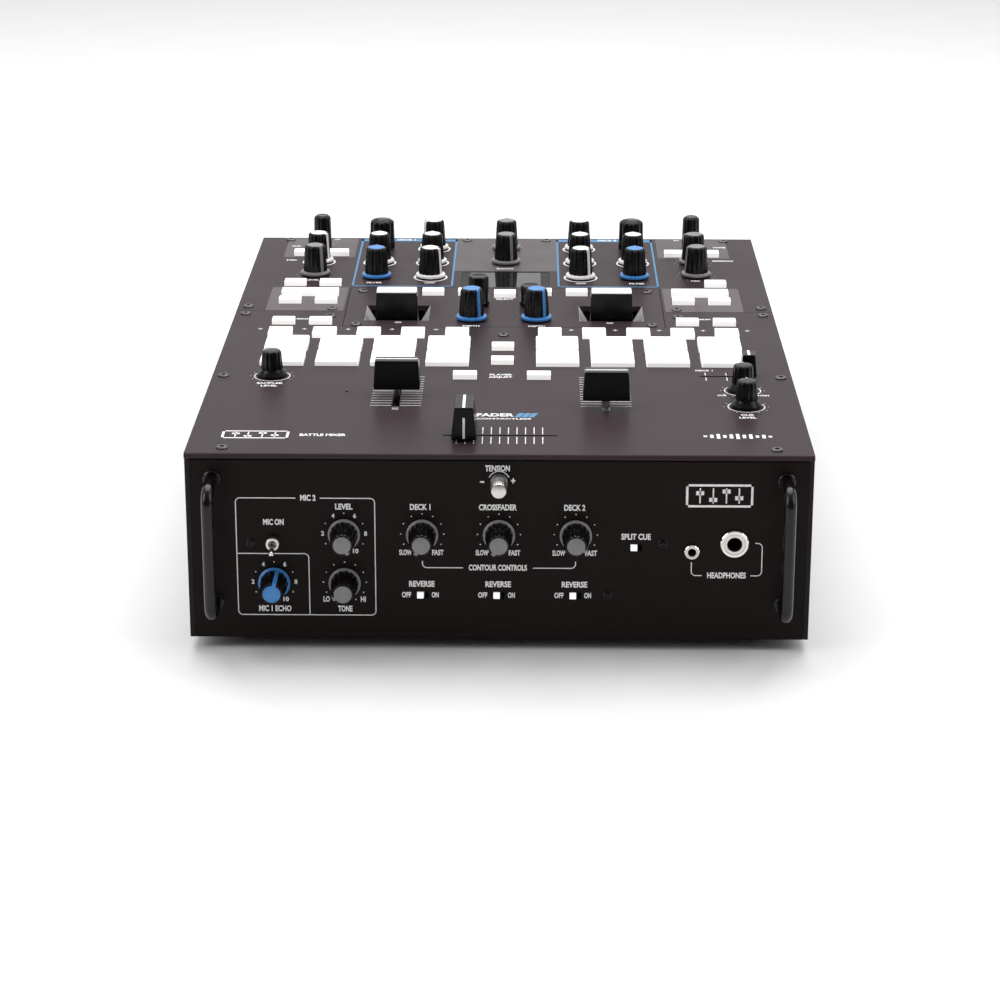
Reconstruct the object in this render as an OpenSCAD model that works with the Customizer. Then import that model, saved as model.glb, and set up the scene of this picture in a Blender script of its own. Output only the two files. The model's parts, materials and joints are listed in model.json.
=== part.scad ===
// Two-deck battle mixer in a folded steel case.
// X runs to the right, Y from the front lip to the rear wall, Z up.
// The part stands on its feet with the middle of its footprint at the origin.

/* [Case] */
// Width of the case and its faceplates
case_w = 267; // [256:1:330]
// Depth of the case from the front lip to the rear wall
case_d = 377; // [368:1:460]
// Height from the underside of the case to the top of the faceplates
case_h = 84; // [76:1:110]
// Thickness of the side and rear walls
wall = 2; // [1.5:0.1:3]
// Thickness of the floor
floor_t = 1.6; // [1.2:0.1:3]
// Thickness of the three faceplates
plate_t = 2.6; // [2:0.1:4]
// Thickness of the shelves that the faceplates are screwed to
shelf_t = 1.5; // [1:0.1:2.5]
// Width of the shelves along the side and rear walls
shelf_w = 12; // [10:0.5:14]
// Gap between neighbouring faceplates
seam_gap = 0.3; // [0.2:0.05:0.6]
// Depth of the upper faceplate, from the seam to the rear wall
upper_d = 150; // [146:1:160]
// Radius of the faceplate's rolled front edge
lip_r = 1.1; // [0.4:0.1:1.2]

/* [Feet] */
// Height of the rubber feet
foot_h = 5.5; // [4:0.5:12]
// Diameter of the rubber feet
foot_d = 22; // [16:1:30]
// Distance of each foot's centre from the case's edges
foot_inset = 24; // [20:1:40]

/* [Effects section] */
// Width of the centre effects plate
fx_w = 157.6; // [156:0.2:162]
// Depth of the centre effects plate
fx_d = 73.6; // [72:0.2:76]
// How far the effects plate reaches in front of the seam
fx_reach = 28.7; // [28:0.1:30]
// Distance of each paddle from the centre line
paddle_x = 53; // [50:0.5:56]
// Width of a paddle
paddle_w = 21; // [17:0.5:22]
// Height of a paddle above the plate
paddle_h = 13.8; // [10:0.2:16]
// Width of the opening that a paddle stands in
well_w = 32; // [31:0.5:33]
// Depth of the opening that a paddle stands in
well_d = 28; // [26:0.5:29]
// Diameter of the pin that a paddle turns on
paddle_pin_d = 3; // [2.5:0.1:4]

/* [Knobs] */
// Diameter of a potentiometer's shaft
shaft_d = 6; // [5:0.1:6.4]
// Diameter of a potentiometer's threaded bush
bush_d = 7; // [6.8:0.1:7.6]
// Gap between a knob and the surface below it
knob_gap = 0.6; // [0.4:0.1:1.5]
// Height of a tone knob above the plate
knob_h = 16; // [12:0.5:18]
// Diameter of a tone knob's coloured collar
collar_d = 15.3; // [13:0.1:17]
// Diameter of a tone knob's grip where it meets the collar
grip_d = 12.5; // [11:0.1:13]
// Diameter of a tone knob's top
grip_top_d = 10.2; // [8:0.1:11]
// Height of a plain slim knob above the plate
slim_h = 18.6; // [12:0.2:19]
// Diameter of a plain slim knob
slim_d = 9.6; // [8:0.2:11]
// Diameter of an input selector knob
selector_d = 13.6; // [12:0.2:15]
// Diameter of an effect encoder knob
encoder_d = 11; // [9:0.2:12]
// Height of the left encoder knob, which is pulled up
encoder_h = 15.5; // [12:0.5:16]
// Height of the right encoder knob, which is pushed home
encoder_low_h = 10.8; // [10:0.1:15]
// Height of a small level knob above the plate
level_h = 12.4; // [10:0.2:15]
// Diameter of a small level knob's skirt
level_d = 14; // [12:0.2:15]

/* [Knob layout] */
// Distance between the rear knob row and the rear wall
row_inset = 24; // [22:0.5:26]
// Distance between knob rows
row_pitch = 30; // [28:0.5:30.5]
// Distance of the outer knob columns from the centre line
outer_x = 99.2; // [97:0.1:101]
// Distance of the filter knob columns from the centre line
filter_x = 67; // [65:0.5:69]
// Distance of the tone knob columns from the centre line
tone_x = 39; // [37:0.5:41]
// Distance of the effect depth knobs from the centre line
depth_x = 16; // [14:0.5:17]

/* [Pads and buttons] */
// Width and depth of a performance pad
pad_w = 20.2; // [18:0.1:21]
// Distance between pads across the mixer
pad_pitch = 25.8; // [24.5:0.1:26]
// Distance between the two pad rows
pad_row_pitch = 24.2; // [23.8:0.1:24.6]
// Height of a pad above the plate
pad_h = 2.3; // [1.6:0.1:3]
// How far a pad is pressed
pad_travel = 1.2; // [0.6:0.1:1.5]
// Width of a small button
button_w = 11; // [9:0.1:11.4]
// Depth of a small button
button_d = 7; // [5:0.1:8]
// Height of a button above the plate
button_h = 2.4; // [1.8:0.1:3.5]
// Distance between the pad mode buttons
mode_pitch = 21.4; // [20:0.1:22]
// Clearance round a pad or button in its hole
cap_gap = 0.35; // [0.2:0.05:0.6]

/* [Faders] */
// Travel of the deck faders and the crossfader
fader_travel = 45; // [36:1:48]
// Travel of the cue slider
cue_travel = 20; // [14:1:22]
// Distance of the deck faders from the centre line
fader_x = 46.9; // [44:0.1:50]
// Height of a deck fader cap's top above the plate
fader_cap_h = 17; // [13:0.5:20]
// Height of the crossfader cap's top above the plate
cross_cap_h = 15.4; // [13:0.2:20]
// Distance of the crossfader slot from the front lip
cross_y = 26.5; // [22:0.5:28]
// Deck 1 fader's place along its travel
deck1_place = 0.36; // [0:0.01:1]
// Deck 2 fader's place along its travel
deck2_place = 0; // [0:0.01:1]
// Crossfader's place along its travel
cross_place = 0.16; // [0:0.01:1]

/* [Front panel] */
// Thickness of the front panel
panel_t = 2; // [1.5:0.1:3]
// Distance of the front panel behind the front lip
panel_set = 1.5; // [1:0.1:3]
// How far the handles stand out of the front panel
handle_reach = 22; // [16:1:30]
// Diameter of a handle's bar
handle_d = 5.2; // [4:0.2:8]
// Distance of each handle from the case's side
handle_inset = 11.4; // [9:0.2:13]
// Height of a handle from leg to leg
handle_h = 56; // [46:1:62]
// How far a front panel knob stands out
front_knob_h = 15; // [12:0.5:18]
// Diameter of a front panel knob at its base
front_knob_d = 13.8; // [12:0.2:15]
// Distance between the contour knobs
contour_pitch = 32.8; // [30:0.2:34]

/* [Rear panel] */
// How far the longest rear connector stands out
rear_reach = 9; // [8.6:0.2:14]
// Diameter of a phono socket's sleeve
rca_d = 8.3; // [8:0.1:8.4]
// Diameter of a quarter-inch jack's hole
jack_d = 6.45; // [6.4:0.01:6.6]
// Diameter of a 3.5 mm jack's hole
mini_jack_d = 3.6; // [3.55:0.01:3.7]

/* [Fits] */
// Radial clearance of a turning shaft in its bush
run_gap = 0.05; // [0.02:0.01:0.1]
// Clearance of a part that passes through a panel
pass_gap = 0.2; // [0.1:0.05:0.3]
// Clearance of a sliding carriage inside its fader
slide_gap = 0.3; // [0.2:0.05:0.4]

/* [Hidden] */
round_fn = 48;
cut = 1;                                   // how far a cutter runs past what it cuts
plate_z = foot_h + case_h;                 // top of the faceplates
under_z = plate_z - plate_t;               // underside of the faceplates
inner_x = case_w/2 - wall;
mid_y = (case_d + rear_reach + panel_set - handle_reach)/2;
seam_y = case_d - upper_d;
panel_y = panel_set + panel_t;             // back of the front panel
fx_front = seam_y - fx_reach;
fx_back = fx_front + fx_d;
board_t = 1.6;
board_drop = 10.6;                         // control board below the faceplates
board_z = under_z - board_drop;
main_rise = 6;
main_z = foot_h + floor_t + main_rise;       // underside of the main board
pot_w = 11;
pot_drop = 2;                              // potentiometer body below the faceplates
bush_hole = bush_d + 2*pass_gap;

// knob rows, counted from the rear
row1 = case_d - row_inset;
row2 = row1 - row_pitch;
row3 = row2 - row_pitch;
outer_row2 = row1 - 29;
outer_row3 = row1 - 55.5;
encoder_x = 13;
encoder_y = seam_y + 10.5;
depth_y = seam_y - 15;
level_left = [-105.8, 114];
cue_mix = [109.3, 94];
cue_level = [109.3, 69.5];

// a knob's shape: collar diameter, grip diameter, top diameter, height
TONE = [collar_d, grip_d, grip_top_d, knob_h];
SLIM = [slim_d, slim_d, slim_d - 0.8, slim_h];
SELECTOR = [selector_d, selector_d, selector_d - 0.6, knob_h + 0.6];
ENCODER = [encoder_d, encoder_d, encoder_d - 0.8, encoder_h];
ENCODER_LOW = [encoder_d, encoder_d, encoder_d - 0.8, encoder_low_h];
LEVEL = [level_d, 10, 9, level_h];

// each knob on the faceplates: name, place, shape, how far its pointer is turned clockwise
OUTER_KNOBS = [
    ["aux_level_knob", -outer_x, row1, SLIM, 0],
    ["mic_level_knob", -outer_x, outer_row2, TONE, 120],
    ["mic_effect_knob", -outer_x, outer_row3, TONE, 140],
    ["session_tone_knob", outer_x, row1, SLIM, 0],
    ["session_level_knob", outer_x, outer_row2, TONE, -95],
    ["session_mix_knob", outer_x, outer_row3, TONE, -110],
];
DECK_KNOBS = [
    ["deck1_selector_knob", -filter_x, row1, SELECTOR, 0],
    ["deck1_gain_knob", -filter_x, row2, TONE, 0],
    ["deck1_filter_knob", -filter_x, row3, TONE, 0],
    ["deck1_high_knob", -tone_x, row1, TONE, -120],
    ["deck1_mid_knob", -tone_x, row2, TONE, 0],
    ["deck1_low_knob", -tone_x, row3, TONE, 118],
    ["deck2_high_knob", tone_x, row1, TONE, 95],
    ["deck2_mid_knob", tone_x, row2, TONE, 0],
    ["deck2_low_knob", tone_x, row3, TONE, 135],
    ["deck2_selector_knob", filter_x, row1, SELECTOR, 0],
    ["deck2_gain_knob", filter_x, row2, TONE, 0],
    ["deck2_filter_knob", filter_x, row3, TONE, 0],
];
CENTRE_KNOBS = [
    ["main_level_knob", 0, row1, TONE, 0],
    ["booth_level_knob", 0, row2, TONE, 150],
    ["effect1_encoder_knob", -encoder_x, encoder_y, ENCODER, 0],
    ["effect2_encoder_knob", encoder_x, encoder_y, ENCODER_LOW, 0],
    ["effect1_depth_knob", -depth_x, depth_y, TONE, 140],
    ["effect2_depth_knob", depth_x, depth_y, TONE, 140],
];
LEVEL_KNOBS = [
    ["sampler_level_knob", level_left.x, level_left.y, LEVEL, 0],
    ["cue_mix_knob", cue_mix.x, cue_mix.y, LEVEL, 0],
    ["cue_level_knob", cue_level.x, cue_level.y, LEVEL, 0],
];
TOP_KNOBS = concat(OUTER_KNOBS, DECK_KNOBS, CENTRE_KNOBS, LEVEL_KNOBS);

// each knob on the front panel: name, x, height, pointer's turn
contour_z = plate_z - 36.3;
low_knob_z = plate_z - 58.5;
FRONT_KNOBS = [
    ["mic_echo_knob", -96.5, low_knob_z, 15],
    ["mic2_level_knob", -66.2, contour_z, 150],
    ["mic2_tone_knob", -66.2, low_knob_z, -120],
    ["deck1_contour_knob", -contour_pitch, contour_z, -150],
    ["cross_contour_knob", 0, contour_z, -150],
    ["deck2_contour_knob", contour_pitch, contour_z, 120],
];
tension_z = plate_z - 12.5;
tension_d = 7;
tension_reach = 13;
toggle_at = [-96.7, plate_z - 40.3];
toggle_tilt = 14;
toggle_l = 7.8;                            // from its pivot to its tip
headphone_at = [100.6, plate_z - 40];
mini_at = [82.5, plate_z - 43.7];
slide_z = plate_z - 64.2;
SLIDE_SWITCHES = concat([for (i = [-1:1]) [i*contour_pitch, slide_z]], [[58.7, plate_z - 42]]);
slide_slot = [5, 3];
slide_throw = 2;

// pads and buttons: x, y of the front edge, width, depth
pad_front = seam_y - 96;
mode_front = seam_y - 49;
PADS = [
    for (side = [-1, 1], column = [0:3], row = [0:1])
        [side*(pad_pitch + column*pad_pitch), pad_front + row*pad_row_pitch, pad_w, pad_w]
];
MODE_BUTTONS = [
    for (side = [-1, 1], column = [0:4]) [side*(22.4 + column*mode_pitch), mode_front, 11.3, 12]
];
pair_x = [90, 108.1];
outer_wide = 28.8;
SIDE_BUTTONS = [
    for (side = [-1, 1]) each concat(
        [for (x = pair_x, y = [seam_y + 110, seam_y + 13.5, seam_y - 25.5]) [side*x, y, button_w, button_d]],
        [[side*pair_x[1], seam_y + 47.5, button_w, button_d]],
        [[side*(pair_x[0] + pair_x[1])/2, seam_y + 28, outer_wide, button_d + 1.4]]
    )
];
CENTRE_BUTTONS = [
    [-pair_x[0], seam_y + 47.5, button_w, button_d],
    for (x = [-36.5, -18.3, 18.3, 36.5]) [x, seam_y + 30, button_w, button_d],
    [0, seam_y + 26, button_w, button_d + 1],
    [0, seam_y - 69.5, 10.6, button_d],
    [0, seam_y - 93, 10.6, button_d],
    [-17, seam_y - 117, button_w, button_d - 0.4],
    [17, seam_y - 117, button_w, button_d - 0.4],
];
BUTTONS = concat(MODE_BUTTONS, SIDE_BUTTONS, CENTRE_BUTTONS);
button_travel = 0.7;
cap_flange = 1.1;                          // a pad's or button's rim under the plate
cap_flange_t = 1.1;
stem_d = 4;

// faders
fader_y = 91.5;                            // middle of the deck faders' travel
deck_slot_w = 3;
cross_slot_w = 1.5;
cue_slot_w = 1.5;
stem_l = 3.6;                              // a lever's length along its slot
slot_spare = 0.4;                          // slot past the lever at each end
body_spare = 11;                           // fader body past its slot, both ends together
cue_spare = 7;
fader_body = [12, 9.8];                    // width and height of a deck fader or crossfader
cue_body = [9, 8];
carriage_t = 4;
cue_y = 116.2;
cue_x = 103.3;
cue_place = 1;

// faceplate screws, and the effects plate's screws
screw_d = 2.9;
screw_hole_d = 3.1;
screw_head_d = 5.2;
screw_head_h = 0.8;
screw_l = 5;
side_screw_x = case_w/2 - 5.2;
UPPER_SCREWS = [
    for (side = [-1, 1]) each [[side*118, case_d - 5], [side*21.5, case_d - 5],
        [side*side_screw_x, seam_y + 7.5], [side*86, seam_y + 4]]
];
LOWER_SCREWS = [
    for (side = [-1, 1]) each [[side*118, 8], [side*side_screw_x, 114],
        [side*side_screw_x, seam_y - 6], [side*86, seam_y - 10]]
];
fx_screw_x = fx_w/2 - 6.3;
FX_SCREWS = [for (side = [-1, 1], y = [fx_front + 3.7, fx_back - 7]) [side*fx_screw_x, y]];
post_at = [0, seam_y - 43];
shelf_front = seam_y - 13;
shelf_back = seam_y + 11;
fx_shelf_x = [70, 82];
pinhole = [-70, 90, 1.6];

// display window
window_w = 45.5;
window_front = fx_back + 1.8;
window_d = 31;
window_t = 1.8;
window_rim = 2;

// paddles: the pin lies below the plate, towards the front of the well
well_front = fx_front + 11.2;
pivot_y = well_front + 9.5;
pivot_drop = 7;
cheek_depth = 11.5;                        // depth of the well's bearing cheeks below the plate top
cheek_clear = 0.8;                         // between a paddle and each cheek

// rear connectors: x and height
top_row = foot_h + 58;
low_row = foot_h + 26;
iec_at = [-106, top_row];
rocker_at = [-106, low_row];
usb_at = [for (z = [top_row + 6, low_row]) [-76, z]];
xlr_at = [for (x = [-48, -20]) [x, top_row]];
booth_at = [for (x = [-48, -28]) [x, low_row]];
combo_at = [for (z = [top_row, low_row]) [104, z]];
RCA_BANKS = [[-6, low_row], [8, top_row], [36, top_row], [64, top_row], [36, low_row], [64, low_row]];
rca_pitch = 14;
ground_at = [84, foot_h + 14];
iec_face = [30, 23];
iec_hole = [24.6, 17];
iec_depth = 17;
rocker_face = [22, 18];
xlr_d = 22;
combo_d = 24;
socket_flange_t = 1.5;

// ---- helpers ----

// Shifts what is measured from the front lip to the part's own origin
module in_place() translate([0, -mid_y, 0]) children();

// A block from its lowest to its highest corner
module block(low, high) translate(low) cube([high.x - low.x, high.y - low.y, high.z - low.z]);

module rect_from(x0, y0, x1, y1) translate([x0, y0]) square([x1 - x0, y1 - y0]);

// A rectangle that is centred across and starts at its front edge
module cap_outline(cap, grow = 0)
    translate([cap[0] - cap[2]/2 - grow, cap[1] - grow]) square([cap[2] + 2*grow, cap[3] + 2*grow]);

module disc(x, y, d) translate([x, y]) circle(d = d, $fn = round_fn);

// Lays what is drawn in X and Z on a panel that faces the front, at depth y
module facing_front(y) translate([0, y, 0]) rotate([90, 0, 0]) children();

// ---- case ----

module shelf_outline() {
    for (side = [-1, 1]) {
        rect_from(min(side*inner_x, side*(inner_x - shelf_w)), panel_y + shelf_w,
            max(side*inner_x, side*(inner_x - shelf_w)), case_d - wall);
        rect_from(min(side*inner_x, side*fx_shelf_x[0]), shelf_front,
            max(side*inner_x, side*fx_shelf_x[0]), shelf_back);
        rect_from(min(side*fx_shelf_x[0], side*fx_shelf_x[1]), fx_front - 2,
            max(side*fx_shelf_x[0], side*fx_shelf_x[1]), fx_back + 3);
    }
    rect_from(-inner_x, case_d - wall - shelf_w, inner_x, case_d - wall);
}

module screw_holes_2d(places) for (p = places) disc(p[0], p[1], screw_hole_d);

module rear_cutouts_2d() {
    translate(iec_at) square([iec_face.x - 2, iec_face.y - 2], center = true);
    translate(rocker_at) square([rocker_face.x - 2, rocker_face.y - 2], center = true);
    for (p = usb_at) translate(p) square([12 + 2*pass_gap, 11 + 2*pass_gap], center = true);
    for (p = xlr_at) disc(p.x, p.y, xlr_d + 2*pass_gap);
    for (p = combo_at) disc(p.x, p.y, combo_d + 2*pass_gap);
    for (p = booth_at) disc(p.x, p.y, 11 + 2*pass_gap);
    for (p = RCA_BANKS, up = [-1, 1]) disc(p.x, p.y + up*rca_pitch/2, rca_d + 2*pass_gap);
    disc(ground_at.x, ground_at.y, 4 + 2*pass_gap);
}

module chassis() color([0.09, 0.09, 0.1]) in_place() {
    vent = [2.5, 26, 9];
    difference() {
        block([-case_w/2, panel_set, foot_h], [case_w/2, case_d, under_z]);
        block([-inner_x, panel_set - cut, foot_h + floor_t], [inner_x, case_d - wall, under_z + cut]);
        block([-inner_x, panel_set - cut, foot_h - cut], [inner_x, panel_y, foot_h + floor_t + cut]);
        facing_front(case_d + cut) linear_extrude(wall + 2*cut) rear_cutouts_2d();
        for (side = [-1, 1], i = [0:vent.z - 1])
            translate([side*(case_w/2 - wall/2), case_d - 40 - 7*i, plate_z - 30])
                cube([wall + 2*cut, vent.x, vent.y], center = true);
    }
    translate([0, 0, under_z - shelf_t]) linear_extrude(shelf_t) difference() {
        shelf_outline();
        screw_holes_2d(concat(UPPER_SCREWS, LOWER_SCREWS, FX_SCREWS));
    }
}

module front_holes_2d() {
    for (k = FRONT_KNOBS) disc(k[1], k[2], bush_hole);
    disc(0, tension_z, bush_hole);
    disc(toggle_at.x, toggle_at.y, 5.5 + 2*pass_gap);
    for (p = SLIDE_SWITCHES) translate(p) square(slide_slot, center = true);
    disc(headphone_at.x, headphone_at.y, 9.4 + 2*pass_gap);
    disc(mini_at.x, mini_at.y, 5 + 2*pass_gap);
}

module front_panel() color([0.05, 0.05, 0.055]) in_place() {
    fit = 0.1;
    groove = [1.2, 0.7];                   // shadow gap below the front lip: depth, height
    difference() {
        block([-inner_x + fit, panel_set, foot_h], [inner_x - fit, panel_y, under_z]);
        block([-inner_x, panel_set - cut, under_z - groove.y],
            [inner_x, panel_set + groove.x, under_z + cut]);
        facing_front(panel_y + cut) linear_extrude(panel_t + 2*cut) front_holes_2d();
    }
    // return flange under the lower faceplate
    translate([0, 0, under_z - shelf_t]) linear_extrude(shelf_t) difference() {
        rect_from(-inner_x + fit, panel_y, inner_x - fit, panel_y + shelf_w - 2);
        screw_holes_2d(LOWER_SCREWS);
    }
}

// ---- faceplates ----

module fx_outline(grow = 0)
    rect_from(-fx_w/2 - grow, fx_front - grow, fx_w/2 + grow, fx_back + grow);

module control_holes_2d() {
    for (k = TOP_KNOBS) disc(k[1], k[2], bush_hole);
    for (cap = concat(PADS, BUTTONS)) cap_outline(cap, cap_gap);
}

module upper_faceplate() color([0.13, 0.125, 0.13]) in_place() {
    translate([0, 0, under_z]) linear_extrude(plate_t) difference() {
        rect_from(-case_w/2, seam_y + seam_gap/2, case_w/2, case_d);
        fx_outline(seam_gap);
        control_holes_2d();
        screw_holes_2d(UPPER_SCREWS);
        rect_from(-window_w/2, window_front, window_w/2, window_front + window_d);
    }
}

module slot_2d(centre, along, travel, width)
    translate(centre) square(along == "y" ? [width, travel + stem_l + 2*slot_spare]
        : [travel + stem_l + 2*slot_spare, width], center = true);

// A slim section of the front edge, rolled over at its top
module lip_section() {
    translate([0, lip_r]) square([case_d, plate_t - 2*lip_r]);
    translate([lip_r, 0]) square([case_d, plate_t]);
    for (z = [lip_r, plate_t - lip_r]) translate([lip_r, z]) circle(r = lip_r, $fn = round_fn);
}

module lower_faceplate() color([0.13, 0.125, 0.13]) in_place() {
    difference() {
        translate([-case_w/2, 0, under_z]) rotate([90, 0, 90]) linear_extrude(case_w) intersection() {
            lip_section();
            translate([0, -cut]) square([seam_y - seam_gap/2, plate_t + 2*cut]);
        }
        translate([0, 0, under_z - cut]) linear_extrude(plate_t + 2*cut) {
            fx_outline(seam_gap);
            control_holes_2d();
            screw_holes_2d(LOWER_SCREWS);
            disc(post_at.x, post_at.y, screw_hole_d);
            disc(pinhole.x, pinhole.y, pinhole.z);
            for (side = [-1, 1]) slot_2d([side*fader_x, fader_y], "y", fader_travel, deck_slot_w);
            slot_2d([0, cross_y], "x", fader_travel, cross_slot_w);
            slot_2d([cue_x, cue_y], "x", cue_travel, cue_slot_w);
        }
    }
    // threaded boss behind the middle screw
    translate([post_at.x, post_at.y, under_z - screw_l]) difference() {
        cylinder(d = 7, h = screw_l, $fn = round_fn);
        translate([0, 0, -cut]) cylinder(d = screw_hole_d, h = screw_l + 2*cut, $fn = round_fn);
    }
}

// A cheek beside a paddle: it slopes into the well and holds one end of the paddle's pin
module well_cheek() {
    low = -cheek_depth;
    inner = paddle_w/2 + cheek_clear;
    translate([0, well_front + well_d, plate_z]) rotate([90, 0, 0]) linear_extrude(well_d)
        polygon([[well_w/2, 0], [well_w/2, low], [inner, low], [inner, low + 3.5]]);
}

module effects_plate() color([0.13, 0.125, 0.13]) in_place() {
    translate([0, 0, under_z]) linear_extrude(plate_t) difference() {
        fx_outline();
        control_holes_2d();
        screw_holes_2d(FX_SCREWS);
        for (side = [-1, 1])
            rect_from(side*paddle_x - well_w/2, well_front, side*paddle_x + well_w/2, well_front + well_d);
    }
    for (side = [-1, 1]) translate([side*paddle_x, 0, 0]) difference() {
        for (turn = [0, 1]) mirror([turn, 0, 0]) well_cheek();
        translate([-well_w/2 - cut, pivot_y, plate_z - pivot_drop]) rotate([0, 90, 0])
            cylinder(d = paddle_pin_d + 2*run_gap, h = well_w + 2*cut, $fn = round_fn);
    }
}

module display_window() color([0.03, 0.035, 0.045]) in_place() {
    fit = 0.15;
    translate([0, window_front + window_d/2, 0]) {
        translate([-window_w/2 + fit, -window_d/2 + fit, under_z])
            cube([window_w - 2*fit, window_d - 2*fit, plate_t - 0.2]);
        translate([-window_w/2 - window_rim, -window_d/2 + fit, under_z - window_t])
            cube([window_w + 2*window_rim, window_d + window_rim, window_t]);
    }
}

// ---- handles, feet and screws ----

handle_x = case_w/2 - handle_inset;
handle_top = plate_z - 11.8;

module panel_handle() {
    bend = 6;
    leg = handle_reach - handle_d/2 - bend;
    module corner() rotate_extrude(angle = 90, $fn = round_fn)
        translate([bend, 0]) circle(d = handle_d, $fn = 24);
    for (z = [handle_top, handle_top - handle_h]) translate([0, panel_set, z]) rotate([90, 0, 0]) {
        cylinder(d = handle_d, h = leg, $fn = round_fn);
        cylinder(d = handle_d + 2.4, h = 1, $fn = round_fn);
    }
    translate([0, panel_set - leg, handle_top - bend]) rotate([0, -90, 0]) rotate([0, 0, -90]) corner();
    translate([0, panel_set - leg, handle_top - handle_h + bend])
        rotate([0, -90, 0]) rotate([0, 0, 180]) corner();
    translate([0, panel_set - leg - bend, handle_top - handle_h + bend])
        cylinder(d = handle_d, h = handle_h - 2*bend, $fn = round_fn);
}

module panel_handles() color([0.04, 0.04, 0.04]) in_place()
    for (side = [-1, 1]) translate([side*handle_x, 0, 0]) panel_handle();

module feet() color([0.03, 0.03, 0.03]) in_place()
    for (x = [-1, 1], y = [foot_inset, case_d - foot_inset])
        translate([x*(case_w/2 - foot_inset), y, 0]) rotate_extrude($fn = round_fn)
            polygon([[0, 0], [foot_d/2 - 2, 0], [foot_d/2 - 0.6, 0.6], [foot_d/2, foot_h], [0, foot_h]]);

module panel_screw(tip) {
    difference() {
        cylinder(d = screw_head_d, h = screw_head_h, $fn = round_fn);
        translate([0, 0, screw_head_h/4]) cylinder(d = 2.3, h = screw_head_h + cut, $fn = 6);
    }
    translate([0, 0, -tip]) cylinder(d = screw_d, h = tip, $fn = round_fn);
}

FRONT_SCREWS = [[-105.8, plate_z - 40.8], [70, plate_z - 40.5], [46.7, slide_z]];

module panel_screws() color([0.2, 0.2, 0.21]) in_place() {
    for (p = concat(UPPER_SCREWS, LOWER_SCREWS, FX_SCREWS, [post_at]))
        translate([p.x, p.y, plate_z]) panel_screw(screw_l);
    for (p = FRONT_SCREWS) translate([p.x, panel_set, p.y]) rotate([90, 0, 0]) difference() {
        cylinder(d = 4.6, h = 1, $fn = round_fn);
        for (turn = [0, 90]) rotate([0, 0, turn]) translate([0, 0, 1])
            cube([2.8, 0.7, 1], center = true);
    }
}

// ---- inside ----

module standoffs(places, z, h) for (p = places) translate([p.x, p.y, z]) cylinder(d = 6, h = h, $fn = 24);

module circuit_boards() in_place() {
    color([0.05, 0.25, 0.12]) {
        // control board under the faceplates
        block([-inner_x + 6, panel_y + 22, board_z - board_t], [inner_x - 6, case_d - 30, board_z]);
        // main board on the floor, beside the power supply
        block([-40, panel_y + 40, main_z], [inner_x - 8, case_d - 40, main_z + board_t]);
        // board behind the front panel's knobs and switches
        block([-118, panel_y + 9, plate_z - 72], [66, panel_y + 9 + board_t, plate_z - 24]);
        block([-20, panel_y + 9, plate_z - 23.5], [20, panel_y + 9 + board_t, under_z - shelf_t - 0.5]);
    }
    color([0.75, 0.75, 0.72]) {
        standoffs([for (x = [-30, 110], y = [60, case_d - 60]) [x, y]], foot_h + floor_t, main_rise);
        standoffs([for (y = [60, case_d - 60]) [110, y]], main_z + board_t, board_z - 2*board_t - main_z);
        standoffs([for (y = [60, case_d - 160]) [-110, y]], foot_h + floor_t,
            board_z - board_t - foot_h - floor_t);
    }
    // housings of the slide switches and the microphone switch
    color([0.3, 0.3, 0.32]) {
        for (p = SLIDE_SWITCHES) translate([p.x, 0, p.y]) difference() {
            block([-5, panel_y, -3], [5, panel_y + 9, 3]);
            block([-3, panel_y - cut, -1.8], [3, panel_y + 4, 1.8]);
        }
        translate([toggle_at.x, 0, toggle_at.y]) difference() {
            union() {
                block([-6, panel_y, -5], [6, panel_y + 9, 5]);
                facing_front(panel_y) cylinder(d = 5.5, h = panel_t + 3.5, $fn = round_fn);
            }
            facing_front(panel_y + 4) cylinder(d = 4.3, h = panel_t + 12, $fn = round_fn);
        }
    }
}

module power_supply() in_place() {
    left = -inner_x + 8;
    base = foot_h + floor_t;
    top = base + 5 + board_t;
    color([0.05, 0.25, 0.12]) block([left, case_d - 140, base + 5], [left + 68, case_d - 40, top]);
    // transformer, capacitor and heat sink
    color([0.8, 0.78, 0.6]) block([left + 10, case_d - 110, top], [left + 40, case_d - 78, top + 28]);
    color([0.1, 0.12, 0.3]) translate([left + 54, case_d - 90, top]) cylinder(d = 18, h = 30, $fn = round_fn);
    color([0.6, 0.6, 0.62]) block([left + 48, case_d - 136, top], [left + 50, case_d - 104, top + 30]);
    color([0.75, 0.75, 0.72])
        standoffs([for (x = [6, 62], y = [46, 134]) [left + x, case_d - y]], base, 5);
}

// A potentiometer's body and threaded bush, with the bush's end at the origin and its shaft hole up
module potentiometer(reach, body_drop) {
    difference() {
        union() {
            cylinder(d = bush_d, h = body_drop, $fn = round_fn);
            translate([-pot_w/2, -pot_w/2, body_drop]) cube([pot_w, pot_w, reach - body_drop]);
        }
        translate([0, 0, -cut]) cylinder(d = shaft_d + 2*run_gap, h = reach - 1 + cut, $fn = round_fn);
    }
}

module potentiometers() color([0.55, 0.56, 0.58]) in_place() {
    for (k = TOP_KNOBS) translate([k[1], k[2], plate_z]) rotate([180, 0, 0])
        potentiometer(plate_t + board_drop, plate_t + pot_drop);
    for (k = FRONT_KNOBS) translate([k[1], panel_set, k[2]]) rotate([-90, 0, 0])
        potentiometer(panel_t + 9, panel_t + 1.5);
    translate([0, panel_set, tension_z]) rotate([-90, 0, 0]) difference() {
        cylinder(d = bush_d, h = panel_t + 9, $fn = round_fn);
        translate([0, 0, -cut]) cylinder(d = 5 + 2*run_gap, h = panel_t + 9, $fn = round_fn);
    }
}

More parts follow.
